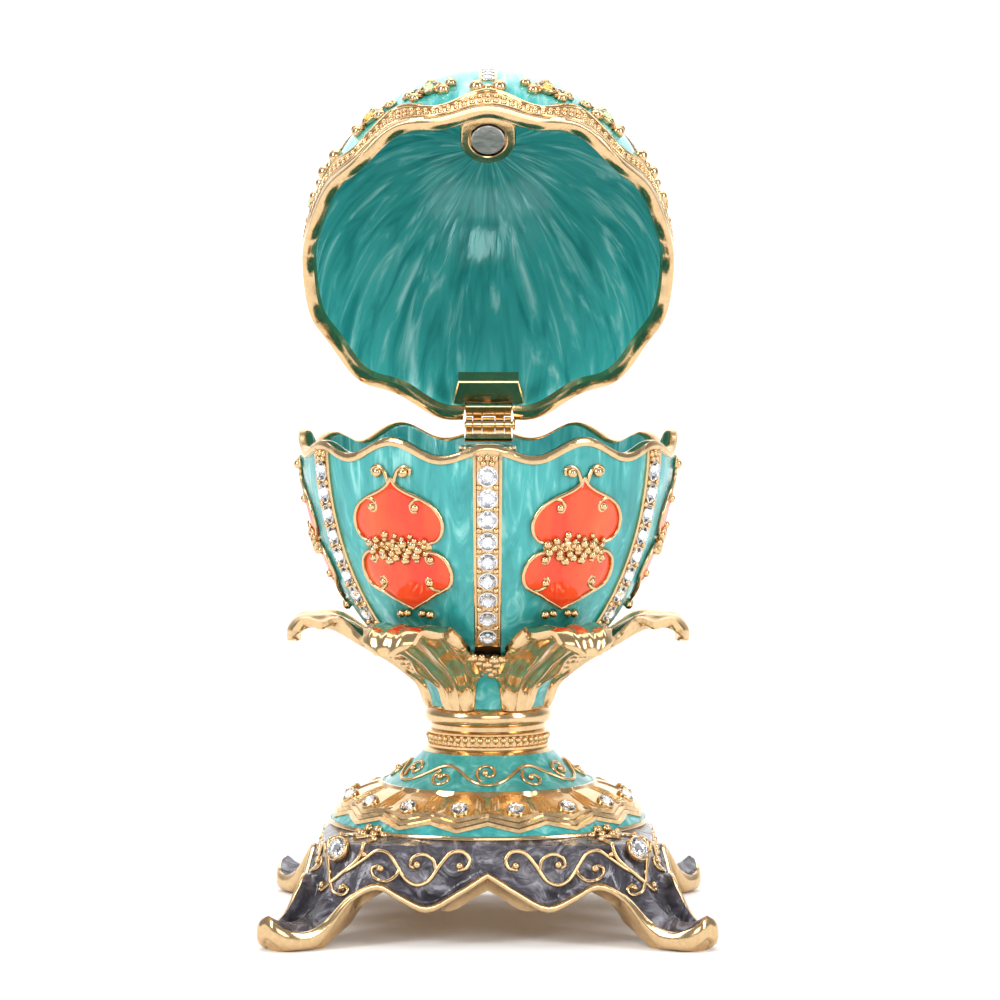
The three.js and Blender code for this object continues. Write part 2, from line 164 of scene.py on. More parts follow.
def build_casting_skin():
    """Soft pits and polishing marks of a plated casting, as a roughness mask and a height."""
    tree = bpy.data.node_groups.new("casting_skin", "ShaderNodeTree")
    for name, kind, way in (("Size", "NodeSocketFloat", "INPUT"), ("Marks", "NodeSocketFloat", "OUTPUT"),
                            ("Height", "NodeSocketFloat", "OUTPUT")):
        tree.interface.new_socket(name, in_out=way, socket_type=kind)
    given = tree.nodes.new("NodeGroupInput")
    result = tree.nodes.new("NodeGroupOutput")
    place = tree.nodes.new("ShaderNodeTexCoord")
    broad = added(tree, "ShaderNodeTexNoise", Detail=3)
    fine = added(tree, "ShaderNodeTexNoise", Detail=5)
    finer = tree.nodes.new("ShaderNodeMath")
    finer.operation = "MULTIPLY"
    finer.inputs[1].default_value = 4.5
    for texture in (broad, fine):
        joined(tree, place, "Object", texture, "Vector")
    joined(tree, given, "Size", broad, "Scale")
    joined(tree, given, "Size", finer, 0)
    joined(tree, finer, "Value", fine, "Scale")
    joined(tree, fine, "Fac", result, "Marks")
    joined(tree, broad, "Fac", result, "Height")
    return tree


casting_skin = build_casting_skin()


def metal(name, bright, worn, metal_roughness, spread, size, depth):
    """A bare metal: two close colours, an uneven polish and a soft cast surface."""
    finish, tree, shader = new_finish(name)
    skin = tree.nodes.new("ShaderNodeGroup")
    skin.node_tree = casting_skin
    skin.inputs["Size"].default_value = size
    tint = tree.nodes.new("ShaderNodeMix")
    tint.data_type = "RGBA"
    tint.inputs[6].default_value = (*bright, 1)
    tint.inputs[7].default_value = (*worn, 1)
    polish = added(tree, "ShaderNodeMapRange", To_Min=metal_roughness, To_Max=metal_roughness + spread)
    bump = added(tree, "ShaderNodeBump", Strength=depth, Distance=0.0003)
    joined(tree, skin, "Marks", tint, 0)
    tree.links.new(tint.outputs[2], shader.inputs["Base Color"])
    joined(tree, skin, "Marks", polish, "Value")
    joined(tree, polish, "Result", shader, "Roughness")
    joined(tree, skin, "Height", bump, "Height")
    joined(tree, bump, "Normal", shader, "Normal")
    shader.inputs["Metallic"].default_value = 1
    return finish


def build_enamel_swirl():
    """Pearl powder drawn out in flowing strokes through a fired enamel."""
    tree = bpy.data.node_groups.new("enamel_swirl", "ShaderNodeTree")
    sockets = (("Deep", "Color", "INPUT"), ("Middle", "Color", "INPUT"), ("Pale", "Color", "INPUT"),
               ("Scale", "Float", "INPUT"), ("Curl", "Float", "INPUT"), ("Color", "Color", "OUTPUT"),
               ("Pearl", "Float", "OUTPUT"), ("Relief", "Float", "OUTPUT"))
    for name, kind, way in sockets:
        tree.interface.new_socket(name, in_out=way, socket_type="NodeSocket" + kind)
    given = tree.nodes.new("NodeGroupInput")
    result = tree.nodes.new("NodeGroupOutput")
    flow = tree.nodes.new("ShaderNodeAttribute")
    flow.attribute_name = "flow"
    strokes = added(tree, "ShaderNodeTexNoise", Detail=5, Roughness=0.55)
    clouds = added(tree, "ShaderNodeTexNoise", Scale=1.6, Detail=2, Distortion=0.6)
    deep = added(tree, "ShaderNodeMapRange", From_Min=0.32, From_Max=0.56)
    pale = added(tree, "ShaderNodeMapRange", From_Min=0.52, From_Max=0.74)
    for step in (deep, pale):
        step.interpolation_type = "SMOOTHSTEP"
    blend = tree.nodes.new("ShaderNodeMath")
    blend.operation = "MULTIPLY_ADD"
    blend.inputs[1].default_value = 0.3
    first = tree.nodes.new("ShaderNodeMix")
    first.data_type = "RGBA"
    second = tree.nodes.new("ShaderNodeMix")
    second.data_type = "RGBA"
    joined(tree, flow, "Vector", strokes, "Vector")
    joined(tree, flow, "Vector", clouds, "Vector")
    joined(tree, given, "Scale", strokes, "Scale")
    joined(tree, given, "Curl", strokes, "Distortion")
    joined(tree, clouds, "Fac", blend, 0)
    scaled = tree.nodes.new("ShaderNodeMath")
    scaled.operation = "MULTIPLY"
    scaled.inputs[1].default_value = 0.7
    joined(tree, strokes, "Fac", scaled, 0)
    joined(tree, scaled, "Value", blend, 2)
    joined(tree, blend, "Value", deep, "Value")
    joined(tree, strokes, "Fac", pale, "Value")
    joined(tree, deep, "Result", first, 0)
    joined(tree, given, "Deep", first, 6)
    joined(tree, given, "Middle", first, 7)
    joined(tree, pale, "Result", second, 0)
    tree.links.new(first.outputs[2], second.inputs[6])
    joined(tree, given, "Pale", second, 7)
    tree.links.new(second.outputs[2], result.inputs["Color"])
    joined(tree, pale, "Result", result, "Pearl")
    relief = tree.nodes.new("ShaderNodeMath")
    relief.operation = "MULTIPLY_ADD"
    relief.inputs[1].default_value = 3.0
    joined(tree, clouds, "Fac", relief, 0)
    joined(tree, strokes, "Fac", relief, 2)
    joined(tree, relief, "Value", result, "Relief")
    return tree


enamel_swirl = build_enamel_swirl()


def enamel(name, deep, middle, pale, scale, curl, pearl):
    """A pearly enamel with a glassy, gently rippled face."""
    finish, tree, shader = new_finish(name)
    swirl = tree.nodes.new("ShaderNodeGroup")
    swirl.node_tree = enamel_swirl
    for socket, value in (("Deep", (*deep, 1)), ("Middle", (*middle, 1)), ("Pale", (*pale, 1)),
                          ("Scale", scale), ("Curl", curl)):
        swirl.inputs[socket].default_value = value
    gloss = added(tree, "ShaderNodeMapRange", To_Min=0.10, To_Max=0.17)
    bump = added(tree, "ShaderNodeBump", Strength=0.6, Distance=0.00022)
    joined(tree, swirl, "Color", shader, "Base Color")
    joined(tree, swirl, "Pearl", gloss, "Value")
    joined(tree, gloss, "Result", shader, "Roughness")
    joined(tree, swirl, "Relief", bump, "Height")
    joined(tree, bump, "Normal", shader, "Normal")
    shader.inputs["Metallic"].default_value = pearl
    shader.inputs["IOR"].default_value = 1.52
    return finish


gold_plate = metal("gold_plate", (0.80, 0.575, 0.325), (0.58, 0.375, 0.175), 0.10, 0.16, 420, 0.25)
charcoal_enamel = enamel("charcoal_enamel", (0.017, 0.015, 0.019), (0.080, 0.073, 0.088),
                         (0.30, 0.285, 0.33), 3.0, 2.2, 0.1)
teal_enamel = enamel("teal_enamel", (0.022, 0.250, 0.245), (0.050, 0.370, 0.355),
                     (0.25, 0.62, 0.59), 3.6, 1.5, 0.05)

skirt_edge = smooth_line([
    (0, 22.3, 9.0), (3.6, 22.9, 6.8), (7.4, 23.2, 5.0), (10.6, 23.0, 6.3), (13.4, 22.8, 7.7),
    (16.6, 23.5, 6.3), (19.2, 25.0, 3.6), (21.4, 26.5, 2.4), (23.6, 27.6, 2.6), (25.7, 27.6, 3.6),
    (26.7, 26.7, 4.3)])


def shoulder_radius(azimuth):
    return shoulder_half / (math.cos(azimuth) ** 5 + math.sin(azimuth) ** 5) ** 0.2


def arc_of_four(a, b, c, d, t):
    return a * (1 - t)**3 + b * 3 * t * (1 - t)**2 + c * 3 * t * t * (1 - t) + d * t**3


flare_steps = 14


def skirt_line(share):
    """One line of the skirt: up the hollow, round the rolled edge and up the enamel to the disc."""
    edge = skirt_edge(share)
    along = skirt_edge(min(share + 1e-4, 1)) - skirt_edge(max(share - 1e-4, 0))
    if share == 0:
        along = Vector((1, 0, 0))
    if share == 1:
        along = Vector((1, -1, 0))
    along.z = 0
    along.normalize()
    outward = Vector((-along.y, along.x, 0))
    azimuth = math.atan2(edge.x, edge.y)
    foot = eased(azimuth, math.radians(33), math.pi / 4)
    drop = between(0.9, 2.9, eased(share, 0.45, 0.7))
    lip = edge + outward * 0.3
    lip.z = max(0.0, edge.z - drop)
    inner = lip - outward * skirt_wall
    ahead = skirt_edge(min(share + 0.07, 1)).z - drop
    inner.z = max(0.0, min(lip.z, ahead) - 1.7 * foot)

    def out_at(angle, radius, z):
        return Vector((radius * math.sin(angle), radius * math.cos(angle), z))

    inner_azimuth = math.atan2(inner.x, inner.y)
    roof = out_at(inner_azimuth, shoulder_radius(inner_azimuth) - skirt_wall, shoulder_height - 1.6)
    roof_radius, inner_radius = roof.xy.length, inner.xy.length

    def under(part, z):
        return out_at(inner_azimuth, between(roof_radius, inner_radius, part), z)

    hollow = [arc_of_four(roof, under(0.11, between(roof.z, inner.z, 0.75)),
                          under(0.55, inner.z + 0.3), inner, t / 2) for t in range(3)]
    tall = edge.z - lip.z
    toe = eased(share, 0.45, 0.7) - 0.6 * eased(share, 0.88, 1.0)
    roll = [edge + outward * out + Vector((0, 0, (part - 1) * tall)) for out, part in (
        (-0.2 - 0.9 * toe, 0.0), (-0.05 - 0.4 * toe, 0.07), (0.06 - 0.1 * toe, 0.2), (0.14, 0.42),
        (0.13, 0.66), (0.03, 0.87), (-0.18, 0.98), (-0.45, 1.0))]
    rim = edge - outward * 0.7
    rim.z -= 0.12
    top = out_at(azimuth, shoulder_radius(azimuth), shoulder_height)
    top_radius, edge_radius = top.xy.length, edge.xy.length

    def flare(part, z):
        return out_at(azimuth, between(top_radius, edge_radius, part), z)

    outside = [arc_of_four(rim, flare(0.55, edge.z - 3.2 * foot),
                           flare(0.11, between(shoulder_height, edge.z, 0.88)), top, t / flare_steps)
               for t in range(1, flare_steps + 1)]
    return hollow + roll + outside + [out_at(azimuth, 19.6, 12.6)]


stand_form = new_form()
skirt_steps = 40
half_face = [skirt_line(k / skirt_steps) for k in range(skirt_steps + 1)]
skirt_columns = []
for face in range(4):
    for k in range(-skirt_steps, skirt_steps):
        side = -1 if k < 0 else 1
        skirt_columns.append([turned((side * p.x, -p.y, p.z), math.radians(90 * face))
                              for p in half_face[abs(k)]])
skirt_rings = [list(ring) for ring in zip(*skirt_columns)]

# Finishes are 0 for bare gold, 1 for charcoal and 2 for teal. The hollow and rolled edge stay gold.
gold_rings = 10
lay_skin(stand_form, skirt_rings, Vector((0, 0, 11.1)), Vector((0, 0, 12.6)),
         [0] * gold_rings + [1] * (len(skirt_rings) - gold_rings))

# Going up the round top: radius and height at a petal's point, how far both move between the
# petals, the groove there, and the finish.
round_top = [
    (17.6, 11.4, 0, 0, 0, 0), (19.95, 12.35, 0, 0, 0, 0), (20.12, 12.55, 0, 0, 0, 0),
    (20.12, 12.75, 0, 0, 0, 0), (19.98, 12.95, 0, 0, 0, 0), (19.82, 12.98, 0, 0, 0, 0),
    (19.7, 12.9, 0, 0, 0, 2), (19.5, 13.25, 0.8, 0.85, 0, 2), (19.66, 13.3, 0.85, 0.85, 0, 0),
    (19.64, 13.75, 0.85, 0.85, 0, 0), (19.2, 13.9, 0.85, 0.85, 0, 0), (19.16, 14.4, 0.85, 0.8, 0, 0),
    (18.7, 14.55, 0.85, 0.75, 0.1, 0), (18.66, 15.1, 0.85, 0.65, 0.2, 0),
    (18.2, 15.45, 0.8, 0.5, 0.4, 0), (17.3, 15.95, 0.7, 0.4, 0.6, 0), (16.2, 16.45, 0.5, 0.3, 0.65, 0),
    (15.0, 16.95, 0.3, 0.15, 0.6, 0),
    (13.8, 17.3, 0, 0, 0.3, 0), (13.55, 17.62, 0, 0, 0, 0), (13.3, 17.65, 0, 0, 0, 0),
    (13.15, 17.5, 0, 0, 0, 2), (12.2, 18.05, 0, 0, 0, 2), (11.3, 18.7, 0, 0, 0, 2),
    (10.4, 19.4, 0, 0, 0, 2), (9.6, 20.1, 0, 0, 0, 2), (8.85, 20.8, 0, 0, 0, 2),
    (8.15, 21.45, 0, 0, 0, 2), (7.6, 21.9, 0, 0, 0, 0), (7.75, 22.1, 0, 0, 0, 0),
    (7.75, 22.35, 0, 0, 0, 0), (7.4, 22.5, 0, 0, 0, 0), (7.4, 23.65, 0, 0, 0, 0),
    (7.7, 23.8, 0, 0, 0, 0), (7.75, 24.0, 0, 0, 0, 0), (7.3, 24.3, 0, 0, 0, 0)]


def petal_groove(off):
    """The ledges that step down from a petal's face to the groove beside it."""
    return sum(eased(off, ledge, ledge + 0.05) for ledge in (0.56, 0.7, 0.84)) / 3


def top_ring(radius, height, draw, rise, groove):
    half = (0.0, 0.32, 0.55, 0.61, 0.69, 0.75, 0.83, 0.89)
    places = [-1.0] + [-off for off in reversed(half[1:])] + list(half)
    ring = []
    for petal in range(petals):
        for place in places:
            off = abs(place)
            ring.append(round_axis(radius - draw * off, math.tau * (petal + 0.5 + place / 2) / petals,
                                   height + rise * off - groove * petal_groove(off)))
    return ring


lay_skin(stand_form, [top_ring(*row[:5]) for row in round_top], Vector((0, 0, 11.4)),
         Vector((0, 0, 24.3)), [row[5] for row in round_top[1:]])
stand_casting = make_piece("stand_casting", stand_form, [gold_plate, charcoal_enamel, teal_enamel])
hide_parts("stand")
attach(stand_casting, "base")

# ---- Scrollwork on the stand ----------------------------------------------------------------
# Fine gold wire, cast with the foot and standing a little proud of the enamel. Running scrolls cross
# the skirt and the cone; each curl ends on a grain, and a pointed frame stands on each corner.

stand_surface = BVHTree.FromPolygons([tuple(p) for p in stand_form["points"]], stand_form["faces"])


def press(surface, start, direction, lift):
    """Where a wire comes to lie when pushed onto a surface, and which way is out there."""
    place, out, _, _ = surface.ray_cast(Vector(start), Vector(direction).normalized())
    if place is None:
        return None
    if out.dot(Vector(direction)) > 0:
        out = -out
    return place + out * lift, out


def build_soldered_wire():
    """Round wire laid along lines, with closed ends."""
    tree = bpy.data.node_groups.new("soldered_wire", "GeometryNodeTree")
    for name, kind in (("Geometry", "Geometry"), ("Sides", "Int"), ("Finish", "Material")):
        tree.interface.new_socket(name, in_out="INPUT", socket_type="NodeSocket" + kind)
    tree.interface.new_socket("Geometry", in_out="OUTPUT", socket_type="NodeSocketGeometry")
    given = tree.nodes.new("NodeGroupInput")
    result = tree.nodes.new("NodeGroupOutput")
    line = tree.nodes.new("GeometryNodeMeshToCurve")
    thick = tree.nodes.new("GeometryNodeInputNamedAttribute")
    thick.data_type = "FLOAT"
    thick.inputs["Name"].default_value = "thick"
    section = tree.nodes.new("GeometryNodeCurvePrimitiveCircle")
    section.inputs["Radius"].default_value = 1.0
    wire = tree.nodes.new("GeometryNodeCurveToMesh")
    wire.inputs["Fill Caps"].default_value = True
    soft = tree.nodes.new("GeometryNodeSetShadeSmooth")
    real = tree.nodes.new("GeometryNodeRealizeInstances")
    coat = tree.nodes.new("GeometryNodeSetMaterial")
    joined(tree, given, "Geometry", line, "Mesh")
    joined(tree, line, "Curve", wire, "Curve")
    joined(tree, given, "Sides", section, "Resolution")
    joined(tree, section, "Curve", wire, "Profile Curve")
    joined(tree, thick, "Attribute", wire, "Scale")
    joined(tree, wire, "Mesh", soft, "Geometry")
    joined(tree, soft, "Geometry", real, "Geometry")
    joined(tree, real, "Geometry", coat, "Geometry")
    joined(tree, given, "Finish", coat, "Material")
    joined(tree, coat, "Geometry", result, "Geometry")
    return tree


def build_set_pieces():
    """One shape set on every point, facing out and sized by the point."""
    tree = bpy.data.node_groups.new("set_pieces", "GeometryNodeTree")
    for name, kind in (("Geometry", "Geometry"), ("Shape", "Object"), ("Finish", "Material")):
        tree.interface.new_socket(name, in_out="INPUT", socket_type="NodeSocket" + kind)
    tree.interface.new_socket("Geometry", in_out="OUTPUT", socket_type="NodeSocketGeometry")
    given = tree.nodes.new("NodeGroupInput")
    result = tree.nodes.new("NodeGroupOutput")
    shape = tree.nodes.new("GeometryNodeObjectInfo")
    out = tree.nodes.new("GeometryNodeInputNamedAttribute")
    out.data_type = "FLOAT_VECTOR"
    out.inputs["Name"].default_value = "out"
    size = tree.nodes.new("GeometryNodeInputNamedAttribute")
    size.data_type = "FLOAT_VECTOR"
    size.inputs["Name"].default_value = "size"
    facing = tree.nodes.new("FunctionNodeAlignRotationToVector")
    facing.axis = "Z"
    place = tree.nodes.new("GeometryNodeInstanceOnPoints")
    real = tree.nodes.new("GeometryNodeRealizeInstances")
    coat = tree.nodes.new("GeometryNodeSetMaterial")
    joined(tree, given, "Geometry", place, "Points")
    joined(tree, given, "Shape", shape, "Object")
    joined(tree, shape, "Geometry", place, "Instance")
    joined(tree, out, "Attribute", facing, "Vector")
    joined(tree, facing, "Rotation", place, "Rotation")
    joined(tree, size, "Attribute", place, "Scale")
    joined(tree, place, "Instances", real, "Geometry")
    joined(tree, real, "Geometry", coat, "Geometry")
    joined(tree, given, "Finish", coat, "Material")
    joined(tree, coat, "Geometry", result, "Geometry")
    return tree


soldered_wire = build_soldered_wire()
set_pieces = build_set_pieces()


def grown(name, seed, tree, **inputs):
    """Runs a tree on points or lines and keeps the result as a plain mesh."""
    piece = bpy.data.objects.new(name, seed)
    bpy.context.scene.collection.objects.link(piece)
    modifier = piece.modifiers.new(tree.name, "NODES")
    modifier.node_group = tree
    for item in tree.interface.items_tree:
        if item.in_out == "INPUT" and item.name in inputs:
            modifier[item.identifier] = inputs[item.name]
    bpy.context.view_layer.update()
    graph = bpy.context.evaluated_depsgraph_get()
    mesh = bpy.data.meshes.new_from_object(piece.evaluated_get(graph), depsgraph=graph)
    piece.modifiers.clear()
    piece.data = mesh
    return piece


def lay_wires(name, paths, sides=8):
    """Paths are lists of a point and a half thickness."""
    points, edges, thick = [], [], []
    for path in paths:
        start = len(points)
        points.extend(in_place(p) for p, _ in path)
        thick.extend(half * 0.001 for _, half in path)
        edges.extend((start + i, start + i + 1) for i in range(len(path) - 1))
    seed = bpy.data.meshes.new(name + "_lines")
    seed.from_pydata(points, edges, [])
    seed.attributes.new("thick", "FLOAT", "POINT").data.foreach_set("value", thick)
    return grown(name, seed, soldered_wire, Sides=sides, Finish=gold_plate)


def place_each(name, spots, shape, finish):
    """Spots are a point, the way out, and the half size across, along and up."""
    seed = bpy.data.meshes.new(name + "_points")
    seed.from_pydata([in_place(p) for p, _, _ in spots], [], [])
    outs = [c for _, out, _ in spots for c in out]
    sizes = [c * 0.001 for _, _, size in spots for c in size]
    seed.attributes.new("out", "FLOAT_VECTOR", "POINT").data.foreach_set("vector", outs)
    seed.attributes.new("size", "FLOAT_VECTOR", "POINT").data.foreach_set("vector", sizes)
    return grown(name, seed, set_pieces, Shape=shape, Finish=finish)


def turned_shape(name, profile, sides, smooth):
    """A shape turned about Z from a profile of radius and height, with its ends on the axis."""
    form = new_form()
    rings = [[round_axis(r, math.tau * i / sides, z) for i in range(sides)] for r, z in profile[1:-1]]
    lay_skin(form, rings, Vector((0, 0, profile[0][1])), Vector((0, 0, profile[-1][1])),
             [0] * len(profile))
    mesh = bpy.data.meshes.new(name)
    mesh.from_pydata([tuple(p) for p in form["points"]], [], form["faces"])
    mesh.polygons.foreach_set("use_smooth", [smooth] * len(mesh.polygons))
    return bpy.data.objects.new(name, mesh)


grain = turned_shape("grain_shape", [(0, -1), (0.72, -0.7), (1.0, 0.0), (0.72, 0.7), (0, 1)], 8, True)
ball = turned_shape("ball_shape", [(0, -1)] + [
    (math.sin(math.radians(a)), -math.cos(math.radians(a))) for a in (22, 45, 67, 90, 113, 135, 158)
] + [(0, 1)], 16, True)


def even(size):
    return (size, size, size)


def fine_run(knots, steps=5):
    """The points of an even curve through flat knots."""
    line = smooth_line([(a, b, 0) for a, b in knots])
    count = (len(knots) - 1) * steps
    return [line(i / count).xy for i in range(count + 1)]


def tapered(i, count, half):
    """Wire thins a little towards its free end."""
    return half * (1.0 - 0.3 * (i / max(count - 1, 1)) ** 3)


skirt_scroll = [
    (3.6, 9.0), (2.5, 9.3), (2.2, 10.3), (3.0, 11.2), (4.4, 11.1), (5.8, 9.6), (7.2, 7.7), (8.7, 7.2),
    (10.0, 7.9), (11.1, 9.6), (12.1, 11.0), (13.4, 11.3), (15.0, 10.2), (16.8, 8.9), (18.2, 8.2)]
skirt_curls = [
    [(6.3, 9.0), (6.6, 10.2), (7.8, 10.9), (9.1, 10.5), (9.4, 9.5), (8.6, 9.2)],
    [(10.8, 9.0), (11.3, 8.2), (12.5, 7.7), (13.8, 8.2), (14.0, 9.2), (13.2, 9.5)]]
skirt_grains = [(3.4, 9.5), (8.6, 9.6), (13.0, 9.1)]
stand_wires = []
stand_grains = []
for face in range(4):
    turn = math.radians(90 * face)
    inward = turned((0, 1, 0), turn)
    for side in (-1, 1):
        for knots, half in [(skirt_scroll, 0.3)] + [(c, 0.27) for c in skirt_curls]:
            run = fine_run(knots)
            laid = [press(stand_surface, turned((side * u, -45, z), turn), inward, 0.1) for u, z in run]
            stand_wires.append([(hit[0], tapered(i, len(run), half))
                                for i, hit in enumerate(laid) if hit])
        for u, z in skirt_grains:
            spot, out = press(stand_surface, turned((side * u, -45, z), turn), inward, 0.25)
            stand_grains.append((spot, out, even(0.55)))

# The pointed frame on each corner, with its grains and the two curls under its tip.
corner_frame = [(0, 2.3), (1.0, 3.0), (2.4, 2.6), (3.0, 1.2), (2.6, -0.4), (1.4, -2.2), (0, -4.2)]
corner_curl = [(0, -4.2), (0.9, -5.2), (2.0, -5.3), (2.3, -4.4), (1.6, -4.0)]
for corner in range(4):
    azimuth = math.radians(45 + 90 * corner)
    outward = round_axis(1, azimuth, 0)
    across = Vector((math.cos(azimuth), math.sin(azimuth), 0))
    facing = outward * math.cos(math.radians(30)) + Vector((0, 0, math.sin(math.radians(30))))
    upward = Vector((0, 0, math.cos(math.radians(30)))) - outward * math.sin(math.radians(30))
    centre = round_axis(25.6, azimuth, 11.2)

    def on_corner(u, v, lift):
        return press(stand_surface, centre + across * u + upward * v + facing * 8, -facing, lift)

    for side in (-1, 1):
        for knots, half in ((corner_frame, 0.28), (corner_curl, 0.24)):
            laid = [on_corner(side * u, v, 0.12) for u, v in fine_run(knots)]
            stand_wires.append([(hit[0], half) for hit in laid if hit])
        for u, v, size in ((1.2, 3.4, 0.5), (1.6, -4.5, 0.48), (3.3, 0.2, 0.4), (2.9, 2.4, 0.42),
                           (0.8, 4.5, 0.66), (2.2, 4.0, 0.56)):
            hit = on_corner(side * u, v, 0.22)
            if hit:
                stand_grains.append((hit[0], hit[1], even(size)))
    hit = on_corner(0, 3.0, 0.3)
    if hit:
        stand_grains.append((hit[0], hit[1], even(0.5)))

# The cone carries one wave all round, with a curl in every hollow of the wave.
down = Vector((0, 0, -1))


def wave_radius(azimuth):
    return 10.75 + 1.25 * math.cos(6 * azimuth)


wave = []
for i in range(181):
    azimuth = math.tau * i / 180
    spot, _ = press(stand_surface, round_axis(wave_radius(azimuth), azimuth, 40), down, 0.1)
    wave.append((spot, 0.24))
stand_wires.append(wave)
for i in range(12):
    middle = math.radians(30 * i)
    inside = i % 2 == 0
    centre_radius = 10.3 if inside else 11.2
    way = -1 if inside else 1
    curl = []
    for k in range(25):
        turn = math.radians(-150 + 400 * k / 24)
        reach = between(1.55, 0.35, k / 24)
        radius = centre_radius + way * reach * math.cos(turn) * 0.8
        azimuth = middle + reach * math.sin(turn) / radius
        spot, out = press(stand_surface, round_axis(radius, azimuth, 40), down, 0.1)
        curl.append((spot, 0.22))
    stand_wires.append(curl)
    stand_grains.append((spot + out * 0.15, out, even(0.46)))

# Two rows of grains round the neck.
neck_grain_count = 48
neck_grain_rows = ((7.4, 23.25, 0.46), (7.35, 22.65, 0.28))
for i in range(neck_grain_count):
    azimuth = math.tau * i / neck_grain_count
    out = round_axis(1, azimuth, 0)
    for radius, height, size in neck_grain_rows:
        stand_grains.append((round_axis(radius, azimuth, height), out, even(size)))

stand_scrollwork = lay_wires("stand_scrollwork", stand_wires)
stand_beading = place_each("stand_beading", stand_grains, grain, gold_plate)
for piece in (stand_scrollwork, stand_beading):
    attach(piece, "base")

# ---- Stones on the stand --------------------------------------------------------------------
# Flat-backed round cut crystal, sixteen in the petals and a larger, taller one on each corner. Each
# is pressed over silver foil in a low gold collet.


def cut_stone(name, rows):
    """A stone from rows of radius, height, facets and turn, closed flat from corner to corner."""
    body = bmesh.new()
    for radius, height, facets, shift in rows:
        for i in range(facets):
            angle = math.tau * (i + shift) / facets
            body.verts.new((radius * math.cos(angle), radius * math.sin(angle), height))
    bmesh.ops.convex_hull(body, input=body.verts)
    bmesh.ops.dissolve_limit(body, angle_limit=math.radians(1), verts=body.verts, edges=body.edges)
    bmesh.ops.recalc_face_normals(body, faces=body.faces)
    mesh = bpy.data.meshes.new(name)
    body.to_mesh(mesh)
    body.free()
    return bpy.data.objects.new(name, mesh)


brilliant = cut_stone("brilliant_shape", [
    (0.5, 0.62, 8, 0.0), (0.8, 0.46, 8, 0.5), (0.98, 0.28, 16, 0.0), (0.98, 0.22, 16, 0.0),
    (0.45, 0.04, 8, 0.5)])
foil_cup = turned_shape("foil_shape", [(0, 0.02), (0.4, 0.0), (1.04, 0.0), (1.08, 0.2), (1.0, 0.22),
                                       (0.46, 0.03), (0, 0.03)], 16, False)
collet = turned_shape("collet_shape", [(0, -0.4), (1.2, -0.4), (1.24, 0.12), (1.16, 0.28),
                                       (1.05, 0.26), (1.04, -0.05), (0, -0.05)], 20, True)


def crystal(name, colour, index):
    """Clear cut crystal, with faint polishing haze."""
    finish, tree, shader = new_finish(name)
    skin = tree.nodes.new("ShaderNodeGroup")
    skin.node_tree = casting_skin
    skin.inputs["Size"].default_value = 900
    haze = added(tree, "ShaderNodeMapRange", To_Max=0.05)
    tint = tree.nodes.new("ShaderNodeMix")
    tint.data_type = "RGBA"
    tint.inputs[6].default_value = (*colour, 1)
    tint.inputs[7].default_value = (*[c * 0.96 for c in colour], 1)
    bump = added(tree, "ShaderNodeBump", Strength=0.03, Distance=0.00005)
    joined(tree, skin, "Marks", haze, "Value")
    joined(tree, haze, "Result", shader, "Roughness")
    joined(tree, skin, "Marks", tint, 0)
    tree.links.new(tint.outputs[2], shader.inputs["Base Color"])
    joined(tree, skin, "Height", bump, "Height")
    joined(tree, bump, "Normal", shader, "Normal")
    shader.inputs["Transmission Weight"].default_value = 1.0
    shader.inputs["IOR"].default_value = index
    return finish


clear_crystal = crystal("clear_crystal", (0.98, 0.98, 0.99), 1.58)
silver_foil = metal("silver_foil", (0.92, 0.92, 0.93), (0.70, 0.70, 0.74), 0.12, 0.2, 1500, 0.6)


def set_stones(name, spots, stone_finish, nodes, body, slot="crystal"):
    """Stones, the foil behind them and the collets round them."""
    stones = place_each(name, spots, brilliant, stone_finish)
    foils = place_each(name + "_foil", spots, foil_cup, silver_foil)
    rims = place_each(name + "_collets", spots, collet, gold_plate)
    if nodes:
        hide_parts(*nodes)
    for piece, its_slot in ((stones, slot), (foils, "magnet_steel"), (rims, "gold_plate")):
        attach(piece, body)
    return stones


stone_lift = 0.05
petal_stone_radius = 17.5
petal_stone_height = 15.9
petal_out = math.radians(35)
petal_spots = []
for i in range(petals):
    azimuth = math.tau * (i + 0.5) / petals
    out = round_axis(math.sin(petal_out), azimuth, math.cos(petal_out))
    petal_spots.append((round_axis(petal_stone_radius, azimuth, petal_stone_height) + out * stone_lift,
                        out, even(0.95)))
set_stones("chevron_stones", petal_spots, clear_crystal,
           [f"chevron_stone_{i + 1:02d}" for i in range(petals)], "base")

corner_spots = []
corner_lean = math.radians(62)
corner_stone_radius = 25.8
corner_stone_height = 11.2
for corner in range(4):
    azimuth = math.radians(45 + 90 * corner)
    out = round_axis(math.sin(corner_lean), azimuth, math.cos(corner_lean))
    corner_spots.append((round_axis(corner_stone_radius, azimuth, corner_stone_height) + out * stone_lift,
                         out, (1.3, 1.3, 1.5)))
set_stones("corner_stones", corner_spots, clear_crystal,
           ["corner_stone_" + c for c in ("front_right", "back_right", "back_left", "front_left")],
           "base")

# ---- Leaf cup -------------------------------------------------------------------------------
# Six acanthus leaves cast in one with the ring they rise from, gold plated, with their tips curled
# over. Teal enamel fills the gaps between the leaves at the root. The egg sits down into the cup.

egg_radius = 23.4
seam_height = 60.4
bowl_base = 32.0
bowl_depth = 31.4
bowl_curve = 1.85
shell_wall = 1.5
cup_columns = 96


def bowl_radius(z):
    return egg_radius * math.sqrt(max(0.0, 1 - max(0.0, (seam_height - z) / bowl_depth) ** bowl_curve))


def hug(z):
    return bowl_radius(z) + 0.3


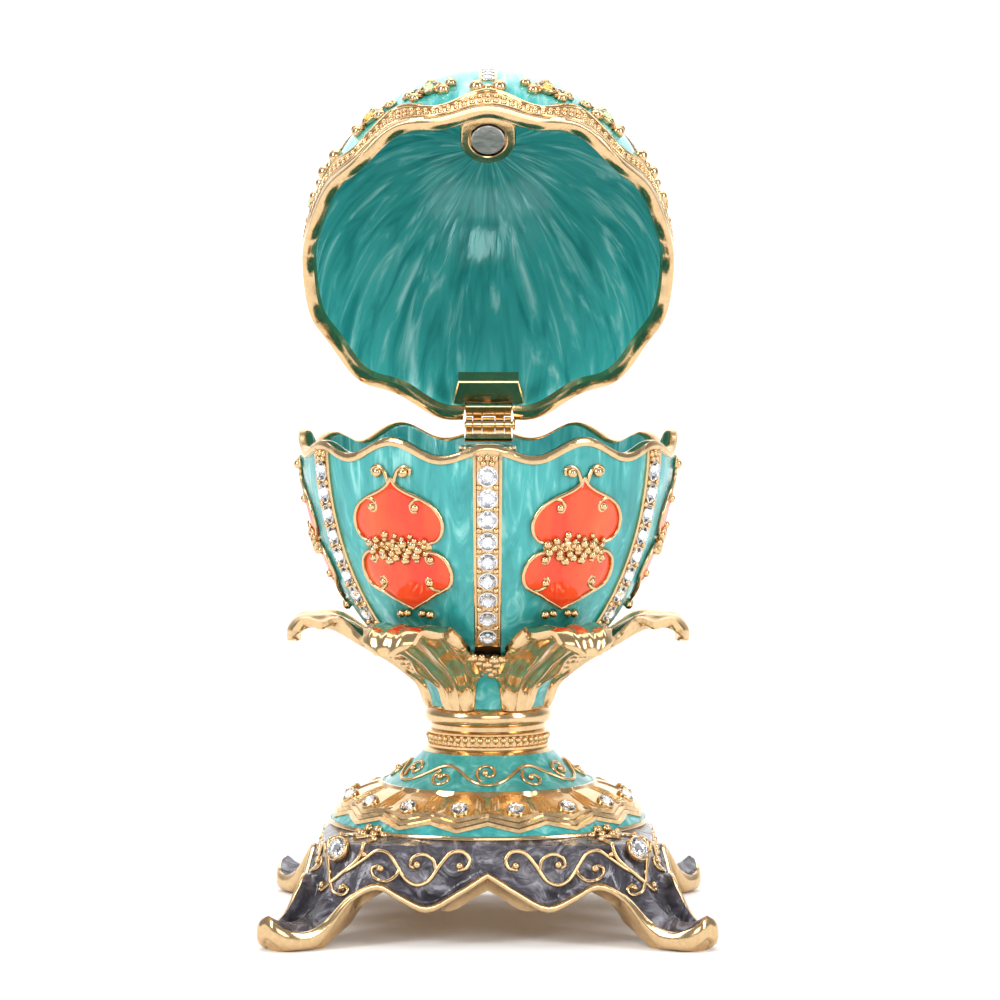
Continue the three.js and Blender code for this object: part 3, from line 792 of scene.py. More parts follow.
cup_profile = [
    (7.2, 24.3, 0), (7.2, 24.85, 0), (7.65, 25.05, 0), (7.95, 25.45, 0), (8.05, 26.0, 0),
    (7.95, 26.5, 0), (7.65, 26.95, 0), (7.3, 27.2, 0), (7.35, 27.6, 2), (7.7, 28.7, 2),
    (8.3, 30.0, 2), (9.1, 31.1, 2), (10.0, 32.0, 2), (11.5, 33.1, 0), (13.2, 34.1, 0),
    (hug(34.4), 34.4, 0), (hug(33.8), 33.8, 0), (hug(33.2), 33.2, 0), (hug(32.4), 32.4, 0),
    (hug(31.7), 31.7, 0)]
cup_form = new_form()
cup_rings = [[round_axis(r, math.tau * i / cup_columns, z) for i in range(cup_columns)]
             for r, z, _ in cup_profile]
lay_skin(cup_form, cup_rings, Vector((0, 0, 24.3)), Vector((0, 0, 31.7)),
         [row[2] for row in cup_profile[1:]])

leaf_line = smooth_line([(7.3, 0, 27.2), (8.3, 0, 30.1), (11.0, 0, 32.7), (14.6, 0, 34.9),
                         (18.0, 0, 37.0), (20.7, 0, 37.9), (22.8, 0, 37.6), (24.0, 0, 36.5),
                         (24.0, 0, 35.2)])


def leaf_half_width(s):
    body = between(2.0, 2.7, s) + 3.6 * math.sin(math.pi * min(1, s * 1.05)) ** 1.2
    tip = math.sqrt(max(0.45, 1 - max(0.0, (s - 0.88) / 0.12) ** 2))
    return body * tip * (1 + 0.07 * math.cos(9 * math.pi * s))


def leaf_point(azimuth, s, t, face):
    """Face is 1 on the front of the leaf, which looks down and out, and -1 on its back."""
    middle = leaf_line(s)
    run = (leaf_line(min(s + 0.002, 1)) - leaf_line(max(s - 0.002, 0))).normalized()
    swell = math.sin(math.pi * min(1, s * 1.02)) ** 0.7
    flutes = -0.4 * math.cos(3.4 * math.pi * t) * swell
    vein = 0.35 * math.exp(-(t / 0.12) ** 2) * swell
    ruffle = 0.5 * t * t * math.cos(9 * math.pi * s) * swell * (1 - eased(s, 0.75, 0.88))
    rolled = (-0.15 if face > 0 else 0.4) * eased(s, 0.7, 0.85)
    thick = (0.75 + rolled) * math.sqrt(1 - 0.85 * t**4)
    out = face * thick + (flutes + vein if face > 0 else 0.4 * flutes) + ruffle - 0.3 * s * t * t
    radius = middle.x + run.z * out
    z = middle.z - run.x * out
    if 31.6 < z < 44:
        radius = max(radius, bowl_radius(z) + (1.05 if face > 0 else 0.6))
    across = leaf_half_width(s) * t / max(radius, 6.0)
    return round_axis(radius, azimuth + across, z)


sixths = 6
leaf_rows, leaf_columns = 44, 28


def sixth(number):
    """The azimuth of one of the six leaves, bands or panels."""
    return math.radians(60 * number)


def lay_closed(form, rings, slots):
    """Skins a stack of rings and closes each end at its middle."""
    lay_skin(form, rings, sum(rings[0], Vector()) / len(rings[0]),
             sum(rings[-1], Vector()) / len(rings[-1]), slots)


for leaf in range(sixths):
    azimuth = sixth(leaf + 0.5)
    rings = []
    for i in range(leaf_rows + 1):
        s = i / leaf_rows
        spread = [2 * j / leaf_columns - 1 for j in range(leaf_columns + 1)]
        rings.append([leaf_point(azimuth, s, t, 1) for t in spread]
                     + [leaf_point(azimuth, s, t, -1) for t in reversed(spread)])
    lay_closed(cup_form, rings, [0] * leaf_rows)

leaf_cup = make_piece("acanthus_cup", cup_form, [gold_plate, charcoal_enamel, teal_enamel])
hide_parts("leaf_cup")
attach(leaf_cup, "base")

# ---- Egg bowl -------------------------------------------------------------------------------
# The lower half of the egg, a thin casting enamelled teal inside and out. Its gold rim rises and
# falls in twelve waves, and is cut away at the back for the hinge.

rim_waves = 12
hinge_bay = 3.3
bay_floor = 59.4


def rim_wave(azimuth):
    return 0.85 * math.cos(rim_waves * azimuth) - 0.4 * math.cos(6 * azimuth)


def egg_stations(count):
    """Azimuths round the egg, with both sides of the hinge bay among them."""
    side = math.asin(hinge_bay / egg_radius)
    edges = [math.pi + way * side + step for way in (-1, 1) for step in (-0.0006, 0.0006)]
    return sorted([math.tau * i / count for i in range(count)] + edges)


def in_bay(azimuth):
    return abs(math.sin(azimuth)) * egg_radius < hinge_bay and math.cos(azimuth) < 0


def egg_flow(point):
    """Enamel ran down the egg, so its strokes are short round it and long up it."""
    return Vector((0.115 * point[0], 0.115 * point[1], 0.018 * point[2]))


stations = egg_stations(288)


def bowl_rim(azimuth):
    return bay_floor if in_bay(azimuth) else seam_height + rim_wave(azimuth)


bowl_rings, bowl_slots = [], []
for i in range(37):
    f = 0.965 * i / 36
    ring = []
    for azimuth in stations:
        z = between(bowl_base, seam_height, f) + rim_wave(azimuth) * f**3
        z = min(z, bowl_rim(azimuth) - 1.2)
        ring.append(round_axis(bowl_radius(z), azimuth, z))
    bowl_rings.append(ring)
    bowl_slots.append(2)
for out, drop, slot in ((0.06, -1.1, 2), (0.27, -1.05, 0), (0.38, -0.7, 0), (0.36, -0.3, 0),
                        (0.16, -0.03, 0), (-0.3, 0.04, 0), (-0.8, 0.0, 0), (-1.2, -0.12, 0),
                        (-1.48, -0.42, 0), (-1.5, -0.7, 2)):
    bowl_rings.append([round_axis(egg_radius + out, a, bowl_rim(a) + drop) for a in stations])
    bowl_slots.append(slot)
for i in range(1, 31):
    f = i / 30
    ring = []
    for azimuth in stations:
        z = between(bowl_rim(azimuth) - 0.7, bowl_base + shell_wall, f)
        ring.append(round_axis(max(1.0, bowl_radius(z) - shell_wall), azimuth, z))
    bowl_rings.append(ring)
    bowl_slots.append(2)
bowl_form = new_form()
lay_skin(bowl_form, bowl_rings, Vector((0, 0, bowl_base)), Vector((0, 0, bowl_base + shell_wall)),
         bowl_slots[1:])
bowl_shell = make_piece("bowl_shell", bowl_form, [gold_plate, charcoal_enamel, teal_enamel],
                        flow=egg_flow)
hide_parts("egg_bowl")
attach(bowl_shell, "base")

# ---- Jewelled bands of the bowl -------------------------------------------------------------
# Six upright gold bands with raised borders part the panels. Nine round crystals run down each, or
# eight under the hinge, and fall a little in size, with small prong grains beside every gap. Each
# band runs down into a slot, a thin plate coloured near-black brown as painted shade for the shadowed
# gap between cup and egg, and a bunch of grains stands in the cup below it.


def egg_out(radius_at, azimuth, z):
    """The way out of the egg's surface."""
    slope = (radius_at(z + 0.05) - radius_at(z - 0.05)) / 0.1
    return round_axis(1, azimuth, -slope).normalized()


def on_egg(radius_at, azimuth, u, z, lift):
    """A point u round the egg from an azimuth, standing off its surface by the lift."""
    radius = max(radius_at(z), 0.5)
    angle = azimuth + u / radius
    return round_axis(radius, angle, z) + egg_out(radius_at, angle, z) * lift


band_section = [(-1, -0.5), (-1, 0.3), (-0.93, 0.38), (-0.8, 0.38), (-0.74, 0.22), (0.74, 0.22),
                (0.8, 0.38), (0.93, 0.38), (1, 0.3), (1, -0.5)]


def lay_band(form, radius_at, azimuth, low, high, low_width, high_width, proud=1.0, steps=48):
    rings = []
    for i in range(steps + 1):
        z = between(low, high, i / steps)
        half = between(low_width, high_width, i / steps)
        rings.append([on_egg(radius_at, azimuth, share * half, z, lift * proud)
                      for share, lift in band_section])
    lay_closed(form, rings, [0] * steps)


bowl_band_form = new_form()
slot_form = new_form()
band_spots = []
band_grains = []
# Painted shade: a near-black brown metal for the slot plates. It stands in for the shadow in the gap
# between cup and egg below each band.
painted_shade_gold = metal("slot_painted_shade", (0.060, 0.032, 0.012), (0.022, 0.012, 0.006), 0.45, 0.2, 500, 0.4)
cluster_rows = ((34.2, 4), (33.4, 3), (32.6, 3), (31.9, 2), (31.2, 1))
hinge_band = 3
hinge_band_top = 57.3
band_foot = 35.9
slot_foot = 34.6
band_low_half, band_high_half = 1.6, 1.75
stone_heights = [57.1, 54.4, 51.8, 49.2, 46.7, 44.3, 41.9, 39.5, 37.2]
for band in range(sixths):
    azimuth = sixth(band)
    top = seam_height + rim_wave(azimuth) - 0.75
    if band == hinge_band:
        top = hinge_band_top
    lay_band(bowl_band_form, bowl_radius, azimuth, band_foot, top, band_low_half, band_high_half)
    lay_band(slot_form, bowl_radius, azimuth, slot_foot, band_foot, band_low_half, band_low_half, 0.3, 6)
    for row, (z, count) in enumerate(cluster_rows):
        for i in range(count):
            u = 1.2 * (i - (count - 1) / 2) + 0.18 * math.sin(4 * i + 2 * row + band)
            radius = bowl_radius(z) + 1.0 - 0.4 * row
            spot = round_axis(radius, azimuth + u / radius, z + 0.15 * math.cos(5 * i + band))
            band_grains.append((spot, round_axis(1, azimuth, -0.6), even(0.78 - 0.14 * ((i + row) % 2))))
    heights = [z for z in stone_heights if z < top - 1.4]
    for i, z in enumerate(heights):
        size = between(1.16, 1.02, i / 8)
        spot = on_egg(bowl_radius, azimuth, 0, z, 0.2)
        band_spots.append((spot, egg_out(bowl_radius, azimuth, z), even(size)))
    for above, below in zip(heights, heights[1:]):
        for side in (-1, 1):
            z = (above + below) / 2
            spot = on_egg(bowl_radius, azimuth, side * 1.0, z, 0.3)
            band_grains.append((spot, egg_out(bowl_radius, azimuth, z), even(0.42)))
    if band != hinge_band:
        for u, z in ((-0.9, 59.2), (0, 59.3), (0.9, 59.2), (-0.5, 58.6), (0.5, 58.6)):
            spot = on_egg(bowl_radius, azimuth, u, z, 0.3)
            band_grains.append((spot, egg_out(bowl_radius, azimuth, z), even(0.45)))
bowl_bands = make_piece("bowl_bands", bowl_band_form, [gold_plate])
# The slot plates carry painted shade for the shadowed gap under each band, not a colour of the metal.
bowl_band_slots = make_piece("bowl_band_slots", slot_form, [painted_shade_gold])
bowl_band_grains = place_each("bowl_band_grains", band_grains, grain, gold_plate)
for piece in (bowl_bands, bowl_band_slots, bowl_band_grains):
    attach(piece, "base")
bowl_band_stones = place_each("bowl_band_stones", band_spots, brilliant, clear_crystal)
bowl_band_foils = place_each("bowl_band_foils", band_spots, foil_cup, silver_foil)
for piece, its_slot in ((bowl_band_stones, "crystal"), (bowl_band_foils, "magnet_steel")):
    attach(piece, "base")

# ---- Panel motifs ---------------------------------------------------------------------------
# Every panel carries two onion shapes tip to tail, outlined in raised wire and filled with domed
# orange enamel, with scrolls at the head and a cluster of grains at the waist.

orange_enamel = enamel("orange_enamel", (0.74, 0.040, 0.012), (0.86, 0.085, 0.018),
                       (0.93, 0.170, 0.050), 1.4, 0.5, 0.0)

upper_outline = [(0, 56.75), (0.55, 55.95), (1.35, 55.35), (2.4, 54.85), (3.9, 54.2), (5.3, 53.2),
                 (6.15, 51.5), (5.85, 50.0), (5.05, 49.15), (4.1, 48.8)]
lower_outline = [(3.5, 47.85), (4.8, 47.6), (5.85, 46.6), (6.15, 45.0), (5.65, 43.7), (4.6, 43.0),
                 (3.45, 42.5), (2.3, 41.8), (1.15, 41.2), (0, 40.6)]
motif_curls = [
    [(0.4, 56.2), (0.65, 57.0), (1.1, 57.8), (1.9, 58.15), (2.6, 57.8), (2.55, 57.1)],
    [(3.7, 54.3), (2.9, 54.1), (2.4, 53.5), (2.6, 52.7), (3.2, 52.7)],
    [(3.7, 47.9), (3.4, 47.1), (3.7, 46.4), (4.3, 46.5)],
    [(4.3, 43.0), (3.4, 43.2), (2.8, 43.8), (3.0, 44.5), (3.6, 44.5)]]
motif_grains = [(1.8, 57.4, 0.7), (3.0, 53.2, 0.58), (3.95, 46.9, 0.52), (3.2, 44.0, 0.56),
                (1.0, 40.1, 0.55), (2.0, 40.0, 0.6)]


def half_width_at(outline, z):
    """Half width of a filled shape at a height, read along its outline."""
    for (u1, z1), (u2, z2) in zip(outline, outline[1:]):
        if min(z1, z2) <= z <= max(z1, z2) and z1 != z2:
            return between(u1, u2, (z - z1) / (z2 - z1))
    return outline[0][0] if z > outline[0][1] else outline[-1][0]


def lay_fill(form, azimuth, outline, low, high):
    """Domed enamel inside one outline."""
    columns, fill_steps = 14, 26
    edge = [(p.x, p.y) for p in fine_run(outline, 6)]
    rings = []
    for i in range(fill_steps + 1):
        z = between(low, high, i / fill_steps)
        half = max(0.05, half_width_at(edge, z) - 0.05)
        end = min(1.0, 6 * min(i / fill_steps, 1 - i / fill_steps))
        front = []
        for j in range(columns + 1):
            t = 2 * j / columns - 1
            dome = 0.16 + 0.30 * (1 - t**4) * end
            front.append(on_egg(bowl_radius, azimuth, t * half, z, dome))
        back = [on_egg(bowl_radius, azimuth, t * half, z, -0.4) for t in (1, 0, -1)]
        rings.append(front + back)
    lay_closed(form, rings, [0] * fill_steps)


outline_half = 0.28
curl_half = 0.27
waist_grain_count = 32
golden_turn = math.radians(137.5)
waist_outline = [(0, 49.2), (2.3, 49.1), (4.0, 48.9), (4.4, 48.35), (4.0, 47.8), (2.3, 47.6), (0, 47.5)]
fill_form = new_form()
waist_form = new_form()
motif_wires = []
motif_beads = []
for panel in range(sixths):
    azimuth = sixth(panel + 0.5)
    lay_fill(fill_form, azimuth, upper_outline, 48.7, 56.65)
    lay_fill(fill_form, azimuth, lower_outline, 40.65, 47.9)
    for side in (-1, 1):
        outlines = [(upper_outline, outline_half), (lower_outline, outline_half)]
        for knots, half in outlines + [(curl, curl_half) for curl in motif_curls]:
            run = fine_run(knots)
            motif_wires.append([(on_egg(bowl_radius, azimuth, side * u, z, 0.3),
                                 tapered(i, len(run), half)) for i, (u, z) in enumerate(run)])
        for u, z, size in motif_grains:
            spot = on_egg(bowl_radius, azimuth, side * u, z, 0.4)
            motif_beads.append((spot, egg_out(bowl_radius, azimuth, z), even(size)))
    lay_fill(waist_form, azimuth, waist_outline, 47.55, 49.15)
    for i in range(waist_grain_count):
        reach = 0.56 * math.sqrt(i)
        turn = golden_turn * i
        u, z = 1.36 * reach * math.cos(turn), 48.35 + 0.58 * reach * math.sin(turn)
        spot = on_egg(bowl_radius, azimuth, u, z, 0.5)
        size = (0.6, 0.42, 0.55, 0.66, 0.38)[i % 5]
        motif_beads.append((spot, egg_out(bowl_radius, azimuth, z), even(size)))

orange_fills = make_piece("orange_fills", fill_form, [orange_enamel], flow=egg_flow)
waist_plates = make_piece("waist_plates", waist_form, [gold_plate])
motif_wirework = lay_wires("motif_wirework", motif_wires)
motif_beading = place_each("motif_beading", motif_beads, grain, gold_plate)
for piece in (orange_fills, waist_plates, motif_wirework, motif_beading):
    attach(piece, "base")

# ---- Magnet bosses --------------------------------------------------------------------------
# A gold boss stands inside each rim at the front, with a round pocket. A plated steel disc magnet
# is glued flush in the pocket, and the pair holds the egg shut.

boss_offset = 19.2
boss_radius = 3.5
boss_sides = 48
pocket_depth = 1.8
magnet_steel = metal("magnet_steel", (0.46, 0.45, 0.42), (0.36, 0.35, 0.33), 0.28, 0.16, 700, 0.4)


def boss_circle(radius, z):
    return [Vector((radius * math.cos(math.tau * i / boss_sides),
                    -boss_offset + radius * math.sin(math.tau * i / boss_sides), z))
            for i in range(boss_sides)]


def boss_outline():
    """Half round towards the middle, spreading into the rim at the back."""
    outline = []
    for i in range(boss_sides):
        angle = math.tau * i / boss_sides
        across, inward = math.cos(angle), math.sin(angle)
        reach = boss_radius * (1 + 0.28 * eased(-inward, 0.1, 0.9) * abs(across))
        x, y = reach * across, -boss_offset + reach * inward
        limit = egg_radius - 0.7
        if math.hypot(x, y) > limit:
            y = -math.sqrt(max(0.0, limit**2 - x * x))
        outline.append((x, y))
    return outline


def boss_form(face, depth, way):
    """A boss whose face is at a height. It is way up, 1, or down, -1."""
    form = new_form()
    outline = boss_outline()

    def pocket(radius, drop):
        return boss_circle(radius, face - way * drop)

    def outer(shrink, drop):
        return [Vector((x * shrink, -boss_offset + (y + boss_offset) * shrink, face - way * drop))
                for x, y in outline]

    rings = [outer(0.9, depth), outer(1.0, depth * 0.75), outer(1.0, 0.3), outer(0.95, 0.05),
             outer(0.9, 0.0), pocket(2.5, 0.0), pocket(2.4, 0.08), pocket(2.38, pocket_depth)]
    ends = (Vector((0, -boss_offset, face - way * depth)),
            Vector((0, -boss_offset, face - way * pocket_depth)))
    if way < 0:
        rings.reverse()
        ends = (ends[1], ends[0])
    lay_skin(form, rings, ends[0], ends[1], [0] * len(rings))
    return form


def magnet_form(low, high):
    form = new_form()
    rings = [boss_circle(radius, z) for radius, z in (
        (1.98, low), (2.12, low + 0.12), (2.12, high - 0.12), (1.98, high), (1.2, high))]
    lay_skin(form, rings, Vector((0, -boss_offset, low)), Vector((0, -boss_offset, high)),
             [0] * len(rings))
    return form


bowl_boss = make_piece("bowl_boss", boss_form(seam_height + 0.2, 4.0, 1), [gold_plate])
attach(bowl_boss, "base")
bowl_disc = make_piece("bowl_magnet_disc", magnet_form(59.1, 60.6), [magnet_steel])
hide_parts("bowl_magnet")
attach(bowl_disc, "base")

# ---- Hinge ----------------------------------------------------------------------------------
# Two gold leaves, with three knuckles on the bowl and two on the lid, turn on one headed pin. Each
# leaf lies flat inside its rim, and a bay cut in both rims leaves the barrel room to turn.

hinge_y = 24.6
hinge_z = 61.0
lid_opening = math.radians(56.5)
knuckle_widths = [0.95, 1.2, 1.7, 1.2, 0.95]
barrel_length = sum(knuckle_widths)
knuckle_radius = 1.05
knuckle_bevel = 0.07
knuckle_gap = 0.03
leaf_thick = 0.6


def opened(point):
    """Swings a point of the closed lid about the pin to where the lid stands."""
    arm = Vector((point[0], point[1] - hinge_y, point[2] - hinge_z))
    return Matrix.Rotation(-lid_opening, 3, "X") @ arm + Vector((0, hinge_y, hinge_z))


def closed(point):
    """Takes a point of the open lid back to where it was with the lid shut."""
    arm = Vector((point[0], point[1] - hinge_y, point[2] - hinge_z))
    return Matrix.Rotation(lid_opening, 3, "X") @ arm + Vector((0, hinge_y, hinge_z))


def swing(form):
    form["points"] = [opened(p) for p in form["points"]]
    return form


def lay_rod(form, profile, sides=32):
    """A turned rod along the pin, from a profile of distance along it and radius."""
    rings = []
    for along, radius in profile:
        rings.append([Vector((along, hinge_y + radius * math.cos(math.tau * i / sides),
                              hinge_z + radius * math.sin(math.tau * i / sides)))
                      for i in range(sides)])
    lay_skin(form, rings, Vector((profile[0][0], hinge_y, hinge_z)),
             Vector((profile[-1][0], hinge_y, hinge_z)), [0] * len(profile))


def lay_bar(form, low, high, bevel=0.1):
    """A bar with softened edges between two corners."""
    (x1, y1, z1), (x2, y2, z2) = low, high
    rings = []
    for inset, z in ((bevel, z1), (0, z1 + bevel), (0, z2 - bevel), (bevel, z2)):
        rings.append([Vector((x1 + inset, y1 + inset, z)), Vector((x2 - inset, y1 + inset, z)),
                      Vector((x2 - inset, y2 - inset, z)), Vector((x1 + inset, y2 - inset, z))])
    middle = ((x1 + x2) / 2, (y1 + y2) / 2)
    lay_skin(form, rings, Vector((*middle, z1)), Vector((*middle, z2)), [0] * 4)


def leaf_with_knuckles(indices, low_z, depth):
    """A leaf and its knuckles, left solid because the pin hides where it passes through."""
    form = new_form()
    inset = hinge_y - 0.9
    half = barrel_length / 2
    depth += 0.45
    lay_bar(form, (-half, inset - depth, low_z), (half, inset, low_z + leaf_thick))
    for index in indices:
        start = sum(knuckle_widths[:index]) - half + knuckle_gap
        end = start + knuckle_widths[index] - 2 * knuckle_gap
        lay_rod(form, [(start, knuckle_radius - knuckle_bevel), (start + knuckle_bevel, knuckle_radius),
                       (end - knuckle_bevel, knuckle_radius), (end, knuckle_radius - knuckle_bevel)])
        lay_bar(form, (start, inset - 0.2, low_z), (end, hinge_y - 0.2, low_z + 0.9))
    return form


lower_leaf = make_piece("bowl_knuckles", leaf_with_knuckles([0, 2, 4], hinge_z - 1.6, 3.0), [gold_plate])
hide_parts("bowl_hinge_leaf")
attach(lower_leaf, "base")
upper_leaf = make_piece("lid_knuckles", swing(leaf_with_knuckles([1, 3], hinge_z + 0.6, 1.2)),
                        [gold_plate])
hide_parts("lid_hinge_leaf")
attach(upper_leaf, "lid")
pin_form = new_form()
pin_half = barrel_length / 2 + 0.15
lay_rod(pin_form, [(-pin_half, 0.4), (-pin_half + 0.1, 0.5), (pin_half, 0.5), (pin_half, 0.72),
                   (pin_half + 0.12, 0.8), (pin_half + 0.3, 0.8), (pin_half + 0.4, 0.6)], 24)
pin = make_piece("headed_pin", pin_form, [gold_plate])
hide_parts("hinge_pin")
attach(pin, "base")

# ---- Egg lid --------------------------------------------------------------------------------
# The upper half of the egg, cast like the bowl and built here closed, then swung open. The smooth
# gold rim and the belt above it follow the same waves. Inside, the teal ran in long pearly strokes.

lid_height = 30.5
lid_curve = 2.1
lid_bay_roof = 62.5
dome_steps = 32
lid_low = seam_height + 0.3


def lid_radius(z):
    rise = min(1.0, max(0.0, (z - seam_height) / lid_height))
    return egg_radius * math.sqrt(max(0.0, 1 - rise ** lid_curve))


def lid_rim(azimuth):
    return lid_bay_roof if in_bay(azimuth) else lid_low + rim_wave(azimuth)


def belt_top(azimuth):
    return lid_low + rim_wave(azimuth) + 4.6 + 0.9 * math.cos(rim_waves * azimuth)


def dome(radius, height, azimuth, low, share):
    """A point of a dome over the seam, from its crown at 0 down to a height at 1."""
    angle = share * math.acos(((low - seam_height) / height) ** (lid_curve / 2))
    return round_axis(radius * math.sin(angle), azimuth,
                      seam_height + height * math.cos(angle) ** (2 / lid_curve))


def fan_flow(point):
    """Inside the lid the strokes fan out from the crown."""
    shut = closed(point)
    fan = Vector((shut.x, shut.y, 0)).normalized() * 1.9
    return fan + Vector((0.035 * shut.x, 0.035 * shut.y, 0.016 * shut.z))


lid_rings, lid_slots = [], []
crown_wall = 1.8
crown_inside = seam_height + lid_height - crown_wall
for i in range(1, dome_steps + 1):
    lid_rings.append([dome(egg_radius - shell_wall, lid_height - crown_wall, a, lid_rim(a) + 1.3,
                           i / dome_steps) for a in stations])
    lid_slots.append(2)
for out, rise, slot in ((-1.5, 1.1, 2), (-1.42, 0.95, 0), (-1.15, 0.3, 0), (-0.7, 0.03, 0),
                        (0.0, 0.0, 0), (0.25, 0.1, 0), (0.33, 0.35, 0), (0.33, 1.3, 0),
                        (0.2, 1.5, 0), (0.12, 1.6, 0)):
    lid_rings.append([round_axis(egg_radius + out, a, lid_rim(a) + rise) for a in stations])
    lid_slots.append(slot)
for part, raised, slot in ((0.0, 0.1, 0), (0.3, 0.12, 0), (0.65, 0.12, 0), (1.0, 0.1, 0),
                           (1.06, -0.1, 2)):
    ring = []
    for azimuth in stations:
        low = max(lid_rim(azimuth) + 1.65, lid_low + rim_wave(azimuth) + 1.65)
        z = between(low, belt_top(azimuth), part)
        ring.append(round_axis(lid_radius(z) + raised, azimuth, z))
    lid_rings.append(ring)
    lid_slots.append(slot)
crown = seam_height + lid_height
for i in range(dome_steps, 0, -1):
    lid_rings.append([dome(egg_radius - 0.1, lid_height - 0.1, a, belt_top(a) + 0.3, i / dome_steps)
                      for a in stations])
    lid_slots.append(2)
lid_form = new_form()
lay_skin(lid_form, lid_rings, Vector((0, 0, crown_inside)), Vector((0, 0, crown - 0.1)), lid_slots[1:])
lid_deep_teal = enamel("lid_teal_enamel", (0.018, 0.260, 0.248), (0.062, 0.450, 0.425),
                       (0.44, 0.80, 0.77), 3.6, 0.8, 0.06)
lid_shell = make_piece("lid_shell", swing(lid_form), [gold_plate, charcoal_enamel, lid_deep_teal],
                       flow=fan_flow)
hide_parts("egg_lid")
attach(lid_shell, "lid")

lid_boss = make_piece("lid_boss", swing(boss_form(seam_height + 0.8, 3.6, -1)), [gold_plate])
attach(lid_boss, "lid")
lid_disc = make_piece("lid_magnet_disc", swing(magnet_form(61.2, 62.7)), [magnet_steel])
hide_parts("lid_magnet")
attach(lid_disc, "lid")


def hinge_flange_form():
    """The tapered flange inside the rim, arched beside the barrel to clear it."""
    form = new_form()
    columns = 24

    def row(y_front, z, shrink):
        front = []
        for i in range(columns + 1):
            x = between(-1, 1, i / columns)
            arch = 22.4 - 2.4 * (1 - x * x)
            y = y_front if y_front < 20 else arch
            half = between(3.9, 4.9, (y - 17.9) / 4.5) * shrink
            front.append(Vector((x * half, y, z)))
        return front

    low, high = seam_height + 0.9, seam_height + 3.1
    rings = []
    for inset, z in ((0.15, low), (0.0, low + 0.15), (0.0, high)):
        near = row(17.9 + inset, z, 1 - inset / 5)
        far = row(22.4, z, 1 - inset / 5)
        rings.append(near + list(reversed(far)))
    lay_skin(form, rings, Vector((0, 19, low)), Vector((0, 19, high)), [0] * 3)
    return form


lid_flange = make_piece("lid_hinge_flange", swing(hinge_flange_form()), [gold_plate])
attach(lid_flange, "lid")

# ---- Ornament of the lid --------------------------------------------------------------------
# A thin wire, two rows of grains and a swagged wire run round the belt. Above it stand gold balls in
# threes, scroll medallions with coloured stones, six jewelled bands and a rosette at the crown.

lid_wires, lid_grains, lid_balls = [], [], []


def off_hinge(azimuth):
    return abs(math.sin(azimuth)) * egg_radius > 5.2 or math.cos(azimuth) > 0


def round_the_rim(rise, lift, half, swag=0.0):
    """A wire all round the lid but for the hinge."""
    path = []
    for i in range(241):
        azimuth = math.pi + math.radians(14) + math.radians(332) * i / 240
        z = lid_low + rim_wave(azimuth) + rise + swag * math.cos(rim_waves * azimuth)
        path.append((on_egg(lid_radius, azimuth, 0, z, lift), half))
    return path


lid_wires.append(round_the_rim(1.75, 0.22, 0.2))
lid_wires.append(round_the_rim(4.7, 0.1, 0.36, 0.9))
for rise, size, count, swag in ((2.5, 0.4, 150, 0.1), (3.5, 0.38, 148, 0.4)):
    for i in range(count):
        azimuth = math.tau * i / count
        if off_hinge(azimuth):
            z = lid_low + rim_wave(azimuth) + rise + swag * math.cos(rim_waves * azimuth)
            spot = on_egg(lid_radius, azimuth, 0, z, 0.16)
            lid_grains.append((spot, egg_out(lid_radius, azimuth, z), even(size)))

amber_spots, green_spots, lid_band_spots = [], [], []
lid_band_form = new_form()
lid_band_rise = 9.3
lid_stone_rise = 10.1
lid_stone_step = 1.75
lid_stone_lift = -0.15
lid_stone_depth = 0.45
lid_foil_lift = 0.18
for band in range(sixths):
    azimuth = sixth(band)
    base = lid_low + rim_wave(azimuth)
    for side in (-1, 1):
        spot = on_egg(lid_radius, azimuth, side * 1.4, base + 6.4, 0.3)
        lid_balls.append((spot, egg_out(lid_radius, azimuth, base + 6.4), even(0.95)))
    spot = on_egg(lid_radius, azimuth, 0, base + 6.1, 0.1)
    lid_balls.append((spot, egg_out(lid_radius, azimuth, base + 6.1), even(0.7)))
    lay_band(lid_band_form, lid_radius, azimuth, base + lid_band_rise, crown - 0.9, 1.2, 0.9, 0.15, 60)
    z = base + lid_stone_rise
    while z < crown - 1.6:
        out = egg_out(lid_radius, azimuth, z)
        spot = on_egg(lid_radius, azimuth, 0, z, lid_stone_lift)
        stone_half = between(0.78, 0.62, eased(z, 78, 90))
        lid_band_spots.append((spot, out, (stone_half, stone_half, lid_stone_depth)))
        climb = Vector((out.x, out.y)).length
        z += lid_stone_step * max(0.12, climb)
medallion_rise = 9.0
medallion_spread = 11
for panel in range(sixths):
    for side in (-1, 1):
        azimuth = math.radians(60 * (panel + 0.5) + side * medallion_spread)
        z = lid_low + medallion_rise
        out = egg_out(lid_radius, azimuth, z)
        spot = on_egg(lid_radius, azimuth, 0, z, 0.35)
        (green_spots if side > 0 else amber_spots).append((spot, out, even(1.1)))
        ring = []
        for i in range(25):
            angle = math.radians(-60 + 300 * i / 24)
            ring.append((on_egg(lid_radius, azimuth, side * 1.75 * math.cos(angle),
                                z + 1.6 * math.sin(angle), 0.15), 0.27))
        lid_wires.append(ring)
        tail = fine_run([(1.2, 0.9), (2.3, 1.6), (3.4, 1.2), (3.6, 0.2), (2.9, -0.1)])
        lid_wires.append([(on_egg(lid_radius, azimuth, -side * u, z + v, 0.15), 0.24) for u, v in tail])
        for u, v, size in ((1.9, -1.5, 0.8), (-1.9, -1.5, 0.7), (0.0, 2.1, 0.7), (2.7, 0.5, 0.72),
                           (-2.9, 0.3, 0.6)):
            spot = on_egg(lid_radius, azimuth, side * u, z + v, 0.2)
            lid_balls.append((spot, egg_out(lid_radius, azimuth, z + v), even(size)))

